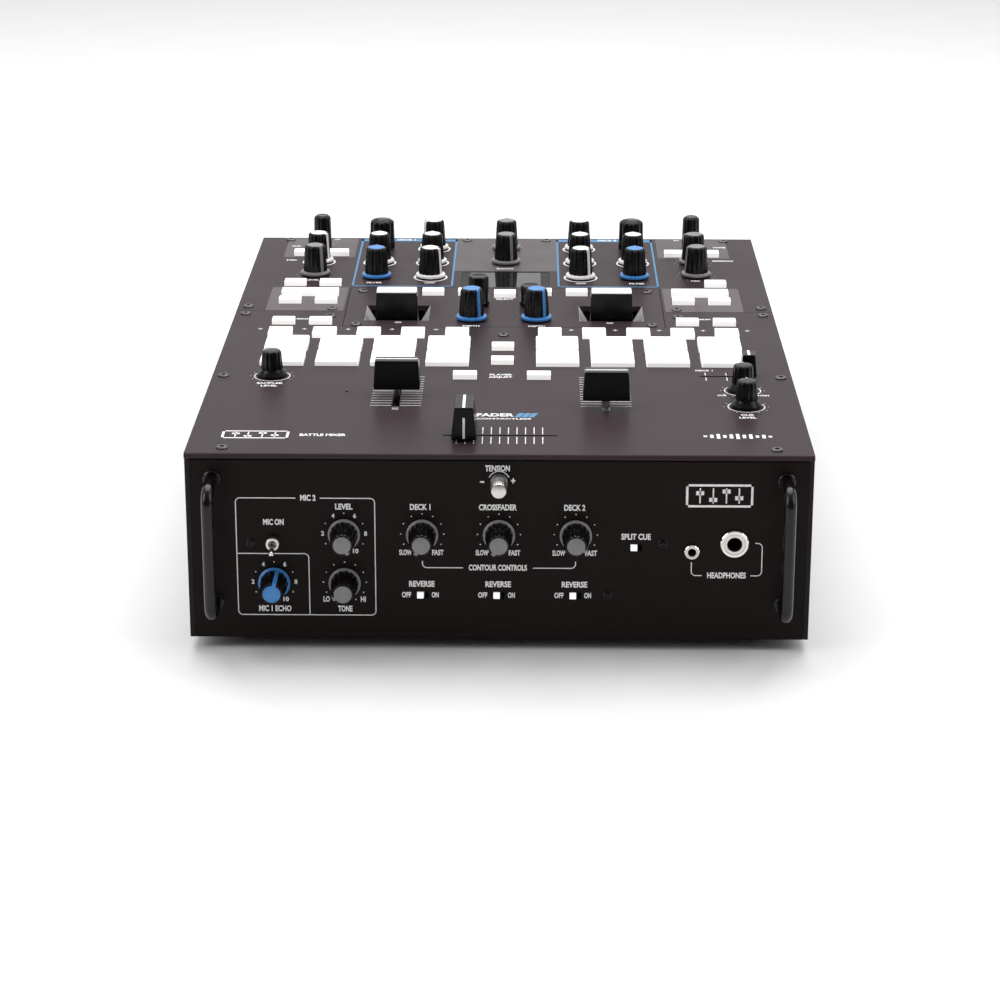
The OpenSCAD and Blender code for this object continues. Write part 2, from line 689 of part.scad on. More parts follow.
// A fader's housing, along X, with its top at the origin
module fader_body(travel, size, slot_w, spare = body_spare) {
    inner_l = travel + stem_l + 2*slot_spare;
    length = inner_l + spare;
    lid = 1.2;
    translate([0, 0, -size.y/2]) difference() {
        cube([length, size.x, size.y], center = true);
        cube([inner_l + 4, size.x - 2.4, size.y - 2*lid], center = true);
        cube([inner_l, slot_w + 0.2, size.y + 2*cut], center = true);
    }
}

module fader_bodies() color([0.6, 0.6, 0.62]) in_place() translate([0, 0, under_z]) {
    for (side = [-1, 1]) translate([side*fader_x, fader_y, 0]) rotate([0, 0, 90])
        fader_body(fader_travel, fader_body, deck_slot_w);
    translate([0, cross_y, 0]) fader_body(fader_travel, fader_body, cross_slot_w);
    translate([cue_x, cue_y, 0]) fader_body(cue_travel, cue_body, cue_slot_w, cue_spare);
}

// ---- rear and headphone sockets ----

module round_socket(d, flange) {
    translate([0, 0, wall]) difference() {
        translate([-flange.x/2, -flange.y/2, 0]) cube([flange.x, flange.y, socket_flange_t]);
        translate([0, 0, -cut]) cylinder(d = d - 2, h = 4, $fn = round_fn);
    }
    difference() {
        translate([0, 0, -18]) cylinder(d = d, h = 18 + wall, $fn = round_fn);
        translate([0, 0, -16]) cylinder(d = d - 4, h = 30, $fn = round_fn);
    }
}

// Draws rear connectors with their outward direction up, seen from behind the mixer
module on_rear(at) translate([at.x, case_d - wall, at.y]) rotate([-90, 0, 0]) children();

module iec_inlet() {
    difference() {
        union() {
            translate([-iec_face.x/2, -iec_face.y/2, wall])
                cube([iec_face.x, iec_face.y, socket_flange_t]);
            translate([-iec_face.x/2 + 1.2, -iec_face.y/2 + 1.2, -iec_depth])
                cube([iec_face.x - 2.4, iec_face.y - 2.4, iec_depth + wall]);
        }
        translate([-iec_hole.x/2, -iec_hole.y/2, 1.5 - iec_depth])
            cube([iec_hole.x, iec_hole.y, 40]);
    }
    for (p = [[-7, 1.5], [7, 1.5], [0, -4.5]])
        translate([p.x - 1, p.y - 2, 1 - iec_depth]) cube([2, 4, iec_depth - 2]);
}

module rear_sockets() color([0.12, 0.12, 0.13]) in_place() {
    on_rear(iec_at) iec_inlet();
    on_rear(rocker_at) difference() {
        union() {
            translate([-rocker_face.x/2, -rocker_face.y/2, wall])
                cube([rocker_face.x, rocker_face.y, socket_flange_t]);
            translate([-rocker_face.x/2 + 1.2, -rocker_face.y/2 + 1.2, -14])
                cube([rocker_face.x - 2.4, rocker_face.y - 2.4, 14 + wall]);
        }
        translate([-7.5, -6.2, -9]) cube([15, 12.4, 30]);
    }
    for (p = usb_at) on_rear(p) {
        difference() {
            translate([-6, -5.5, -14]) cube([12, 11, 14 + wall + 0.5]);
            translate([-4.3, -4, -12]) cube([8.6, 8, 30]);
        }
        translate([-2.8, -1.6, -13]) cube([5.6, 3.2, 12]);
    }
    for (p = xlr_at) on_rear(p) {
        round_socket(xlr_d, [26, 31]);
        for (a = [90, 210, 330]) rotate([0, 0, a]) translate([4.75, 0, -17]) cylinder(d = 2.4, h = 15, $fn = 24);
    }
    for (p = combo_at) on_rear(p) {
        round_socket(combo_d, [27, 30]);
        translate([0, 0, -17]) difference() {
            cylinder(d = combo_d - 5, h = 18, $fn = round_fn);
            translate([0, 0, 1]) cylinder(d = jack_d, h = 20, $fn = round_fn);
            for (a = [90, 210, 330]) rotate([0, 0, a]) translate([6.2, 0, 4]) cylinder(d = 3, h = 20, $fn = 24);
        }
    }
    for (p = booth_at) on_rear(p) difference() {
        union() {
            translate([-7.5, -7.5, -26]) cube([15, 15, 26]);
            cylinder(d = 11, h = wall + 2.5, $fn = round_fn);
        }
        translate([0, 0, -24]) cylinder(d = jack_d, h = 40, $fn = round_fn);
    }
    for (p = RCA_BANKS) on_rear(p) difference() {
        union() {
            translate([-6, -rca_pitch/2 - 6, -10]) cube([12, rca_pitch + 12, 10]);
            for (up = [-1, 1]) translate([0, up*rca_pitch/2, 0])
                cylinder(d = rca_d, h = wall + rear_reach - 0.6, $fn = round_fn);
        }
        for (up = [-1, 1]) translate([0, up*rca_pitch/2, -8]) cylinder(d = 3.4, h = 40, $fn = 24);
    }
    on_rear(ground_at) {
        translate([0, 0, -4]) cylinder(d = 4, h = wall + rear_reach + 4, $fn = round_fn);
        translate([0, 0, wall + 3]) cylinder(d = 9, h = rear_reach - 4, $fn = round_fn);
    }
}

module jack(hole_d, nose_d, nut_d, body, depth) {
    difference() {
        union() {
            cylinder(d = nose_d, h = panel_t + 1.4, $fn = round_fn);
            translate([-body.x/2, -body.y/2, -depth]) cube([body.x, body.y, depth]);
        }
        translate([0, 0, 2 - depth]) cylinder(d = hole_d, h = depth + 10, $fn = round_fn);
    }
    translate([0, 0, panel_t]) difference() {
        cylinder(d = nut_d, h = 2, $fn = round_fn);
        translate([0, 0, -cut]) cylinder(d = nose_d, h = 4, $fn = round_fn);
    }
}

module headphone_jacks() color([0.78, 0.78, 0.8]) in_place() {
    translate([headphone_at.x, panel_y, headphone_at.y]) rotate([90, 0, 0])
        jack(jack_d, 9.4, 12.3, [15, 15], 28);
    translate([mini_at.x, panel_y, mini_at.y]) rotate([90, 0, 0])
        jack(mini_jack_d, 5, 6.6, [7, 6], 15);
}

// ---- moving parts ----

// A knob with its shaft, standing on a surface at the origin
module knob(shape, turn, shaft_l) {
    collar_h = 2.2;
    rotate_extrude($fn = round_fn) polygon([
        [0, knob_gap], [shape[0]/2, knob_gap], [shape[0]/2, collar_h], [shape[1]/2, collar_h + 0.3],
        [shape[2]/2, shape[3] - 0.6], [shape[2]/2 - 0.6, shape[3]], [0, shape[3]]
    ]);
    translate([0, 0, -shaft_l]) cylinder(d = shaft_d, h = shaft_l + knob_gap + cut, $fn = round_fn);
    rotate([0, 0, -turn]) translate([-0.6, 0.8, shape[3] - 0.4]) cube([1.2, shape[2]/2 - 1.8, 0.6]);
}

module top_knob(k) color([0.06, 0.06, 0.065]) in_place()
    translate([k[1], k[2], plate_z]) knob(k[3], k[4], plate_t + board_drop - 1.6);

module front_knob(k) color([0.06, 0.06, 0.065]) in_place()
    translate([k[1], panel_set, k[2]]) rotate([90, 0, 0])
        knob([front_knob_d, 12, 9.6, front_knob_h], k[3], panel_t + 7.4);

module tension_knob() color([0.75, 0.75, 0.77]) in_place()
    translate([0, panel_set, tension_z]) rotate([90, 0, 0]) {
        translate([0, 0, knob_gap]) cylinder(d = tension_d, h = tension_reach - knob_gap, $fn = round_fn);
        translate([0, 0, -panel_t - 7.4]) cylinder(d = 5, h = panel_t + 7.4 + knob_gap + cut, $fn = round_fn);
    }

// A tapered fader cap, centred, from height low to height high
module fader_cap(base, top, low, high) {
    intersection() {
        translate([0, base.y/2 + cut, 0]) rotate([90, 0, 0]) linear_extrude(base.y + 2*cut)
            polygon([[-base.x/2, low], [base.x/2, low], [top.x/2, high], [-top.x/2, high]]);
        translate([-base.x/2 - cut, 0, 0]) rotate([90, 0, 90]) linear_extrude(base.x + 2*cut)
            polygon([[-base.y/2, low], [base.y/2, low], [top.y/2, high], [-top.y/2, high]]);
    }
}

// A fader's lever and the carriage on its end, along X, with the faceplate's top at the origin
module fader_lever(size, slot_w, low) {
    middle = -plate_t - size.y/2;
    lever_w = slot_w - 2*slide_gap;
    translate([-stem_l/2, -lever_w/2, middle]) cube([stem_l, lever_w, low - middle + 1]);
    translate([0, 0, middle]) cube([stem_l + 3, size.x - 2.4 - 2*slide_gap, carriage_t], center = true);
}

module deck_fader_cap(x, place) color([0.05, 0.05, 0.05]) in_place()
    translate([x, fader_y + (place - 0.5)*fader_travel, plate_z]) {
        fader_cap([21, 11], [19.5, 8], 4, fader_cap_h);
        rotate([0, 0, 90]) fader_lever(fader_body, deck_slot_w, 4);
    }

module deck1_fader_cap() deck_fader_cap(-fader_x, deck1_place);
module deck2_fader_cap() deck_fader_cap(fader_x, deck2_place);

module crossfader_cap() color([0.05, 0.05, 0.05]) in_place()
    translate([(cross_place - 0.5)*fader_travel, cross_y, plate_z]) {
        fader_cap([11, 21], [8, 19.5], 1, cross_cap_h);
        fader_lever(fader_body, cross_slot_w, 1);
    }

module cue_slider_cap() color([0.05, 0.05, 0.05]) in_place()
    translate([cue_x + (cue_place - 0.5)*cue_travel, cue_y, plate_z]) {
        fader_cap([7.5, 10], [6, 8.4], 1, 11.5);
        fader_lever(cue_body, cue_slot_w, 1);
    }

module effect_paddle(side) color([0.05, 0.05, 0.05]) in_place() {
    translate([side*paddle_x, pivot_y, plate_z]) {
        translate([-paddle_w/2, 0, 0]) rotate([90, 0, 90]) linear_extrude(paddle_w) union() {
            polygon([[-6, -4], [-6, 1], [-5.6, paddle_h - 0.6], [-5, paddle_h], [4, paddle_h],
                [4.6, paddle_h - 0.6], [5.4, 1], [5.4, -4], [3.4, -pivot_drop], [-3.4, -pivot_drop]]);
            translate([0, -pivot_drop]) circle(r = 3.4, $fn = round_fn);
        }
        translate([-well_w/2 + 0.6, 0, -pivot_drop]) rotate([0, 90, 0])
            cylinder(d = paddle_pin_d, h = well_w - 1.2, $fn = round_fn);
    }
}

module effect1_paddle() effect_paddle(-1);
module effect2_paddle() effect_paddle(1);

module mic_toggle_lever() color([0.8, 0.8, 0.82]) in_place()
    translate([toggle_at.x, panel_set - 1.5, toggle_at.y]) rotate([toggle_tilt, 0, 0]) {
        sphere(r = 1.9, $fn = 32);
        rotate([90, 0, 0]) {
            cylinder(d1 = 1.8, d2 = 2.4, h = toggle_l, $fn = 32);
            translate([0, 0, toggle_l]) sphere(d = 2.6, $fn = 32);
        }
    }

module slide_switches() color([0.85, 0.85, 0.83]) in_place()
    for (p = SLIDE_SWITCHES) translate([p.x - slide_throw/2, 0, p.y]) {
        tab = slide_slot.x/2 - slide_throw/2 - 0.1;
        high = slide_slot.y/2 - slide_gap/2;
        block([-tab, panel_set - 0.8, -high], [tab, panel_y + 2.5, high]);
    }

module power_rocker() color([0.04, 0.04, 0.04]) in_place() on_rear(rocker_at) {
    half = 4.3;
    translate([-7, 0, 0]) rotate([90, 0, 90]) linear_extrude(14)
        polygon([[-half, wall + 0.6], [0, wall + 2], [half, wall + 3.6],
            [half - 0.6, -1], [0, -4], [-half + 0.6, -1]]);
}

// Pads or buttons with the rim that holds them under the plate, and the stems that press the switches
module caps(list, height) in_place() translate([0, 0, plate_z])
    for (cap = list) {
        rest_gap = 0.1;
        translate([0, 0, -plate_t - rest_gap - cap_flange_t]) {
            translate([0, 0, cap_flange_t/2])
                linear_extrude(plate_t + rest_gap + cap_flange_t/2 + height) cap_outline(cap);
            linear_extrude(cap_flange_t) cap_outline(cap, cap_flange);
        }
        translate([cap[0] - stem_d/2, cap[1] + cap[3]/2 - stem_d/2, -plate_t - 8])
            cube([stem_d, stem_d, 8]);
    }

module performance_pads() color([0.93, 0.92, 0.9]) caps(PADS, pad_h);
module push_buttons() color([0.93, 0.92, 0.9]) caps(BUTTONS, button_h);

// ---- nodes ----

chassis();
front_panel();
upper_faceplate();
lower_faceplate();
effects_plate();
panel_handles();
feet();
panel_screws();
display_window();
circuit_boards();
power_supply();
potentiometers();
fader_bodies();
rear_sockets();
headphone_jacks();
for (k = TOP_KNOBS) top_knob(k);
for (k = FRONT_KNOBS) front_knob(k);
tension_knob();
deck1_fader_cap();
deck2_fader_cap();
crossfader_cap();
cue_slider_cap();
effect1_paddle();
effect2_paddle();
mic_toggle_lever();
slide_switches();
power_rocker();
performance_pads();
push_buttons();
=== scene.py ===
"""A two-deck battle mixer: knobs, fader caps, pads, paddles, sockets and legends on its packed steel case."""

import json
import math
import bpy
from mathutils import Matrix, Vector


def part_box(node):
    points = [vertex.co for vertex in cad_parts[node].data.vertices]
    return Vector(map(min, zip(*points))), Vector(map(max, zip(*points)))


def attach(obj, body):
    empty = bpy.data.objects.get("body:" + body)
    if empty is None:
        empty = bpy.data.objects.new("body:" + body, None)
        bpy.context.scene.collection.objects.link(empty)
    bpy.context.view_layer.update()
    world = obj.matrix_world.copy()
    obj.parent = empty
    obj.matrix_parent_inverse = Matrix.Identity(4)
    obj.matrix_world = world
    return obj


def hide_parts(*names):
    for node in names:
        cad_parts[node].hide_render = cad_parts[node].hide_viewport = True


bl_info = {
    "name": "Battle Mixer",
    "version": (1, 0, 0),
    "blender": (4, 5, 0),
    "location": "3D View > Sidebar > Mixer",
    "description": "Builds the visible pieces and finishes of a two-deck mixer around its frame",
    "category": "Object",
}

import bmesh
import bpy
from mathutils import Matrix, Vector

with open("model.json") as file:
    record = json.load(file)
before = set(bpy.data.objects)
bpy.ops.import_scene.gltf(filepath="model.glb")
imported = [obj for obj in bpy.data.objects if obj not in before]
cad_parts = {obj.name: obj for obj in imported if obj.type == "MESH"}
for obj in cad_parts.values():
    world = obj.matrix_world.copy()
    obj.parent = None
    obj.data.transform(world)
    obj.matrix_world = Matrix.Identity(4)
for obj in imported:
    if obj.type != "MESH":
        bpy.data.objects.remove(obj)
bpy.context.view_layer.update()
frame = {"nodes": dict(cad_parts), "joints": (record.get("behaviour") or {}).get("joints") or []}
MM = 0.001  # shapes are drawn in millimetres, and the frame and its places are in metres


def middle(node):
    """The centre of a CAD node's box."""
    low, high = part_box(node)
    return (low + high) / 2


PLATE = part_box("upper_faceplate")
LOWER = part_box("lower_faceplate")
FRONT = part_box("front_panel")
TOP_Z = PLATE[1].z
LIP_Y = LOWER[0].y
PANEL_Y = FRONT[0].y
WALL_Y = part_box("chassis")[1].y
ROOT = "mixer"
FADER_X = 46.9  # deck faders from the centre line, in millimetres
TURNS = {
    joint["child"]: sum(joint.get("range_deg", (0, 0))) / 2
    for joint in frame["joints"]
    if joint["child"].endswith("_knob")
}


# ---- sizes and colours ----

class KnobSettings(bpy.types.PropertyGroup):
    tone_height: bpy.props.FloatProperty(
        name="Tone knob height", description="Height of a tone knob above the plate", default=16 * MM,
        unit="LENGTH")
    collar_radius: bpy.props.FloatProperty(
        name="Collar radius", description="Radius of a tone knob's coloured collar", default=7.6 * MM,
        unit="LENGTH")
    grip_radius: bpy.props.FloatProperty(
        name="Grip radius", description="Radius of a tone knob's grip at its foot", default=6.2 * MM,
        unit="LENGTH")
    grip_top_radius: bpy.props.FloatProperty(
        name="Grip top radius", description="Radius of a tone knob's grip at its top", default=5.3 * MM,
        unit="LENGTH")
    flutes: bpy.props.IntProperty(
        name="Flutes", description="Number of grooves round a grip", default=14, min=8, max=24)
    blue: bpy.props.FloatVectorProperty(
        name="Blue", description="Colour of filter and effect knobs", subtype="COLOR", size=4,
        default=(0.04, 0.21, 0.54, 1))
    white: bpy.props.FloatVectorProperty(
        name="White", description="Colour of tone knobs", subtype="COLOR", size=4,
        default=(0.88, 0.86, 0.85, 1))
    grey: bpy.props.FloatVectorProperty(
        name="Grey", description="Colour of level knobs", subtype="COLOR", size=4,
        default=(0.2, 0.19, 0.195, 1))


class CaseSettings(bpy.types.PropertyGroup):
    plate: bpy.props.FloatVectorProperty(
        name="Faceplate", description="Colour of the satin faceplates", subtype="COLOR", size=4,
        default=(0.042, 0.029, 0.034, 1))
    paint: bpy.props.FloatVectorProperty(
        name="Case paint", description="Colour of the powder coat", subtype="COLOR", size=4,
        default=(0.009, 0.0055, 0.005, 1))
    ink: bpy.props.FloatVectorProperty(
        name="Ink", description="Colour of the printed legends", subtype="COLOR", size=4,
        default=(0.92, 0.91, 0.9, 1))
    deck_ink: bpy.props.FloatVectorProperty(
        name="Deck ink", description="Colour of the deck outlines", subtype="COLOR", size=4,
        default=(0.05, 0.23, 0.46, 1))
    ink_height: bpy.props.FloatProperty(
        name="Ink height", description="Thickness of the printed ink", default=0.05 * MM, unit="LENGTH")


class StudioSettings(bpy.types.PropertyGroup):
    camera_place: bpy.props.FloatVectorProperty(
        name="Camera place", description="Camera position from the middle of the faceplate's front edge",
        size=3, default=(0.0126, -1.1330, 0.37555), subtype="TRANSLATION")
    camera_tilt: bpy.props.FloatProperty(
        name="Camera tilt", description="How far the camera looks down", default=math.radians(19.253),
        subtype="ANGLE")
    camera_pan: bpy.props.FloatProperty(
        name="Camera pan", description="How far the camera looks to the left", default=math.radians(0.6156),
        subtype="ANGLE")
    camera_roll: bpy.props.FloatProperty(
        name="Camera roll", description="How far the camera leans", default=math.radians(0.083),
        subtype="ANGLE")
    lens: bpy.props.FloatProperty(
        name="Lens", description="Focal length in millimetres on a 36 mm sensor", default=101.75)
    floor_tone: bpy.props.FloatProperty(
        name="Floor tone", description="Lightness of the floor", default=0.86, min=0, max=1)


# ---- materials ----

def shader(name, colour, roughness, metallic=0.0, shine=0.5):
    """A new material and its main shader, with plain values on the shader's own sockets."""
    material = bpy.data.materials.new(name)
    material.use_nodes = True
    surface = material.node_tree.nodes["Principled BSDF"]
    surface.inputs["Base Color"].default_value = (*colour[:3], 1)
    surface.inputs["Roughness"].default_value = roughness
    surface.inputs["Metallic"].default_value = metallic
    surface.inputs["Specular IOR Level"].default_value = shine
    material.diffuse_color = (*colour[:3], 1)
    return material, surface


def grain(material, size, detail=4.0, stretch=(1, 1, 1), roughness=0.6):
    """A noise pattern in object space whose features are about size metres across."""
    nodes, links = material.node_tree.nodes, material.node_tree.links
    place = nodes.new("ShaderNodeTexCoord")
    mapping = nodes.new("ShaderNodeMapping")
    mapping.inputs["Scale"].default_value = stretch
    noise = nodes.new("ShaderNodeTexNoise")
    noise.inputs["Scale"].default_value = 1 / size
    noise.inputs["Detail"].default_value = detail
    noise.inputs["Roughness"].default_value = roughness
    links.new(place.outputs["Object"], mapping.inputs["Vector"])
    links.new(mapping.outputs["Vector"], noise.inputs["Vector"])
    return noise.outputs["Fac"]


def vary_colour(material, surface, pattern, dark, light):
    """Lets the colour drift between two shades."""
    nodes, links = material.node_tree.nodes, material.node_tree.links
    ramp = nodes.new("ShaderNodeValToRGB")
    ramp.color_ramp.elements[0].position = 0.3
    ramp.color_ramp.elements[1].position = 0.7
    ramp.color_ramp.elements[0].color = (*dark[:3], 1)
    ramp.color_ramp.elements[1].color = (*light[:3], 1)
    links.new(pattern, ramp.inputs["Fac"])
    links.new(ramp.outputs["Color"], surface.inputs["Base Color"])
    return ramp


def vary_roughness(material, surface, pattern, low, high):
    """Lets the roughness drift between two values."""
    nodes, links = material.node_tree.nodes, material.node_tree.links
    spread = nodes.new("ShaderNodeMapRange")
    spread.inputs["From Min"].default_value = 0.3
    spread.inputs["From Max"].default_value = 0.7
    spread.inputs["To Min"].default_value = low
    spread.inputs["To Max"].default_value = high
    links.new(pattern, spread.inputs["Value"])
    links.new(spread.outputs["Result"], surface.inputs["Roughness"])


def emboss(material, surface, pattern, height, strength=0.5):
    """Raises the surface by a pattern, up to height metres."""
    nodes, links = material.node_tree.nodes, material.node_tree.links
    bump = nodes.new("ShaderNodeBump")
    bump.inputs["Distance"].default_value = height
    bump.inputs["Strength"].default_value = strength
    links.new(pattern, bump.inputs["Height"])
    links.new(bump.outputs["Normal"], surface.inputs["Normal"])


def shade_of(colour, factor):
    """A colour made darker or lighter."""
    return tuple(min(1, part * factor) for part in colour[:3])


def moulded(name, colour, roughness=0.42, depth=0.03 * MM, shine=0.5):
    """Moulded plastic: a faint spark-eroded grain and slightly uneven colour."""
    material, surface = shader(name, colour, roughness, shine=shine)
    broad = grain(material, 6 * MM)
    vary_colour(material, surface, broad, shade_of(colour, 0.9), shade_of(colour, 1.12))
    vary_roughness(material, surface, broad, roughness - 0.05, roughness + 0.06)
    emboss(material, surface, grain(material, 0.35 * MM, detail=2), depth, 0.4)
    return material


def coated(name, colour, roughness, texture, depth, drift=0.12, shine=0.5):
    """Powder coat: a pebbled surface with a slow drift in gloss."""
    material, surface = shader(name, colour, roughness, shine=shine)
    broad = grain(material, 45 * MM)
    vary_colour(material, surface, broad, shade_of(colour, 1 - drift), shade_of(colour, 1 + drift))
    vary_roughness(material, surface, broad, roughness - 0.04, roughness + 0.05)
    emboss(material, surface, grain(material, texture, detail=3), depth, 0.5)
    return material


def metal(name, colour, roughness, stretch=(1, 1, 1), depth=0.01 * MM):
    """Bare or plated metal with fine handling marks."""
    material, surface = shader(name, colour, roughness, metallic=1.0)
    broad = grain(material, 4 * MM)
    vary_colour(material, surface, broad, shade_of(colour, 0.88), shade_of(colour, 1.08))
    vary_roughness(material, surface, broad, max(0.04, roughness - 0.06), roughness + 0.08)
    emboss(material, surface, grain(material, 0.5 * MM, stretch=stretch), depth, 0.3)
    return material


def printed(name, colour):
    """Screen-printed ink, a little worn."""
    material, surface = shader(name, colour, 0.45)
    wear = grain(material, 1.2 * MM, detail=6)
    vary_colour(material, surface, wear, shade_of(colour, 0.8), shade_of(colour, 1.05))
    return material


def patch(material, centre, half, mirrored):
    """A mask that is 1 inside a rectangle of the faceplates, and inside its mirror image if it has one."""
    nodes, links = material.node_tree.nodes, material.node_tree.links
    place = nodes.new("ShaderNodeTexCoord")
    split = nodes.new("ShaderNodeSeparateXYZ")
    links.new(place.outputs["Object"], split.inputs["Vector"])
    across = split.outputs["X"]
    if mirrored:
        both = nodes.new("ShaderNodeMath")
        both.operation = "ABSOLUTE"
        links.new(across, both.inputs[0])
        across = both.outputs["Value"]
    inside = []
    for value, at, reach in ((across, centre[0], half[0]), (split.outputs["Y"], centre[1], half[1])):
        near = nodes.new("ShaderNodeMath")
        near.operation = "COMPARE"
        near.inputs[1].default_value = at
        near.inputs[2].default_value = reach
        links.new(value, near.inputs[0])
        inside.append(near.outputs["Value"])
    return combine(material, "MULTIPLY", *inside)


def combine(material, operation, first, second):
    """A Math node between two sockets."""
    node = material.node_tree.nodes.new("ShaderNodeMath")
    node.operation = operation
    material.node_tree.links.new(first, node.inputs[0])
    material.node_tree.links.new(second, node.inputs[1])
    return node.outputs["Value"]


def blend_colour(material, mask, under, over):
    """The colour under, and over it a plain colour where the mask is 1."""
    nodes, links = material.node_tree.nodes, material.node_tree.links
    mix = nodes.new("ShaderNodeMix")
    mix.data_type = "RGBA"
    factor, first, second = mix.inputs[0], mix.inputs[6], mix.inputs[7]
    links.new(mask, factor)
    links.new(under, first)
    second.default_value = (*over[:3], 1)
    return mix.outputs[2]


# glossy printed panels on the faceplates, drawn in a lighter colour that stands for the sheen they reflect
# (painted reflection): middle and half size in millimetres, and whether mirrored
SHEEN_PANELS = [
    ((100, 355), (19, 20.5), True),
    ((99.8, 249.7), (19.4, 22.3), True),
    ((0, 341.5), (27, 35), False),
]


def plate_finish():
    """Satin faceplates: an uneven dark coat, glossy printed panels drawn lighter as painted reflection of
    their sheen, and a few specks of dust.
    """
    colour = bpy.context.scene.mixer_case.plate
    material, surface = shader("satin plate", colour, 0.36, shine=0.06)
    nodes, links = material.node_tree.nodes, material.node_tree.links
    broad = grain(material, 60 * MM, detail=5)
    coat = vary_colour(material, surface, broad, shade_of(colour, 0.88), shade_of(colour, 1.12))
    sheen_panels = None
    for centre, half, mirrored in SHEEN_PANELS:
        middle_of = (centre[0] * MM, LIP_Y + centre[1] * MM)
        mask = patch(material, middle_of, (half[0] * MM, half[1] * MM), mirrored)
        sheen_panels = combine(material, "MAXIMUM", sheen_panels, mask) if sheen_panels else mask
    # the panels' lighter colour is painted reflection: their print is real, the extra lightness stands for
    # its sheen
    painted = blend_colour(material, sheen_panels, coat.outputs["Color"], (0.115, 0.1, 0.106))
    cells = nodes.new("ShaderNodeTexVoronoi")
    cells.inputs["Scale"].default_value = 1 / (11 * MM)
    place = nodes.new("ShaderNodeTexCoord")
    links.new(place.outputs["Object"], cells.inputs["Vector"])
    speck = nodes.new("ShaderNodeMath")
    speck.operation = "LESS_THAN"
    speck.inputs[1].default_value = 0.014
    links.new(cells.outputs["Distance"], speck.inputs[0])
    dusty = blend_colour(material, speck.outputs["Value"], painted, (0.25, 0.24, 0.24))
    links.new(dusty, surface.inputs["Base Color"])
    vary_roughness(material, surface, broad, 0.33, 0.42)
    emboss(material, surface, grain(material, 0.3 * MM, detail=3), 0.02 * MM, 0.35)
    return material


def translucent(name, colour, glow):
    """White silicone with a faint glow, soft and slightly waxy. The glow is painted light that lifts the
    shaded sides to white; on the pads and push buttons it also stands for their backlight.
    """
    material, surface = shader(name, colour, 0.42)
    surface.inputs["Emission Color"].default_value = (1, 0.98, 0.95, 1)
    surface.inputs["Emission Strength"].default_value = glow
    broad = grain(material, 8 * MM)
    vary_colour(material, surface, broad, shade_of(colour, 0.96), shade_of(colour, 1.02))
    emboss(material, surface, grain(material, 0.4 * MM, detail=2), 0.015 * MM, 0.3)
    return material


def make_finishes():
    """Every material of the mixer, by name."""
    knobs, case = bpy.context.scene.mixer_knobs, bpy.context.scene.mixer_case
    return {
        "plate": plate_finish(),
        "paint": coated("case powder coat", case.paint, 0.5, 0.5 * MM, 0.06 * MM, shine=0.2),
        "front": coated("front powder coat", case.paint, 0.4, 0.45 * MM, 0.02 * MM, shine=0.09),
        "handle": coated("handle enamel", (0.004, 0.003, 0.003), 0.2, 0.6 * MM, 0.01 * MM, shine=0.35),
        "grip": moulded("black grip", (0.004, 0.003, 0.003), 0.24, depth=0.003 * MM, shine=0.25),
        "gloss black": moulded("gloss black", (0.005, 0.0045, 0.005), 0.18, depth=0.004 * MM, shine=0.2),
        "blue": moulded("blue plastic", knobs.blue, 0.3),
        "white": moulded("white plastic", knobs.white, 0.34),
        "grey": moulded("grey plastic", knobs.grey, 0.38),
        "cap": moulded("fader cap black", (0.004, 0.0035, 0.0035), 0.22, depth=0.003 * MM, shine=0.15),
        # these glows are painted light that whitens the shaded sides; on the pads and buttons they also stand
        # for the backlight
        "pad": translucent("pad silicone", (0.88, 0.87, 0.87), 0.45),
        "button": translucent("button plastic", (0.88, 0.87, 0.87), 0.55),
        "paddle light": translucent("paddle light bar", (0.85, 0.84, 0.84), 0.35),
        "ink": printed("white ink", case.ink),
        "deck ink": printed("blue ink", case.deck_ink),
        "orange ink": printed("orange ink", (0.6, 0.22, 0.08)),
        "dark": moulded("dark recess", (0.004, 0.004, 0.004), 0.7),
        # pale sheets on the wells' cheeks: painted highlight standing for the cheeks catching light
        "liner": moulded("well liner", (0.5, 0.48, 0.48), 0.35),
        "rubber": moulded("foot rubber", (0.012, 0.012, 0.012), 0.75, depth=0.08 * MM),
        "black steel": metal("black steel", (0.11, 0.105, 0.108), 0.3),
        "steel": metal("plated steel", (0.55, 0.55, 0.57), 0.3, stretch=(1, 12, 1)),
        "chrome": metal("chrome", (0.72, 0.68, 0.65), 0.1),
        "nickel": metal("satin nickel", (0.66, 0.64, 0.62), 0.34),
        "gold": metal("gold plate", (0.85, 0.6, 0.25), 0.2),
        "window": moulded("display glass", (0.012, 0.011, 0.012), 0.06, depth=0.001 * MM, shine=0.4),
        # the circuit boards are made nearly black so that no green shows through the wells: painted shade
        "board": moulded("solder mask", (0.004, 0.009, 0.006), 0.5),
        "supply": moulded("transformer tape", (0.35, 0.28, 0.08), 0.5),
        "socket": moulded("socket plastic", (0.012, 0.012, 0.013), 0.4),
        "red": moulded("red plastic", (0.55, 0.02, 0.02), 0.35),
        "floor": coated("studio floor", (bpy.context.scene.mixer_studio.floor_tone,) * 3, 0.6, 5 * MM,
                        0.02 * MM, drift=0.01),
    }


FINISH = {}


# ---- modelling helpers ----

def start(add, **options):
    """Adds a primitive with nothing else selected."""
    if bpy.context.mode != "OBJECT":
        bpy.ops.object.mode_set(mode="OBJECT")
    bpy.ops.object.select_all(action="DESELECT")
    add(**options)
    return bpy.context.object


def choose(test, kind="faces"):
    """In edit mode, selects the faces or vertices of the active mesh that pass a test, and no others."""
    shape = bmesh.from_edit_mesh(bpy.context.object.data)
    for group in (shape.faces, shape.edges, shape.verts):
        for part in group:
            part.select_set(False)
    for part in getattr(shape, kind):
        if test(part):
            part.select_set(True)
    shape.select_flush(True)
    bmesh.update_edit_mesh(bpy.context.object.data)


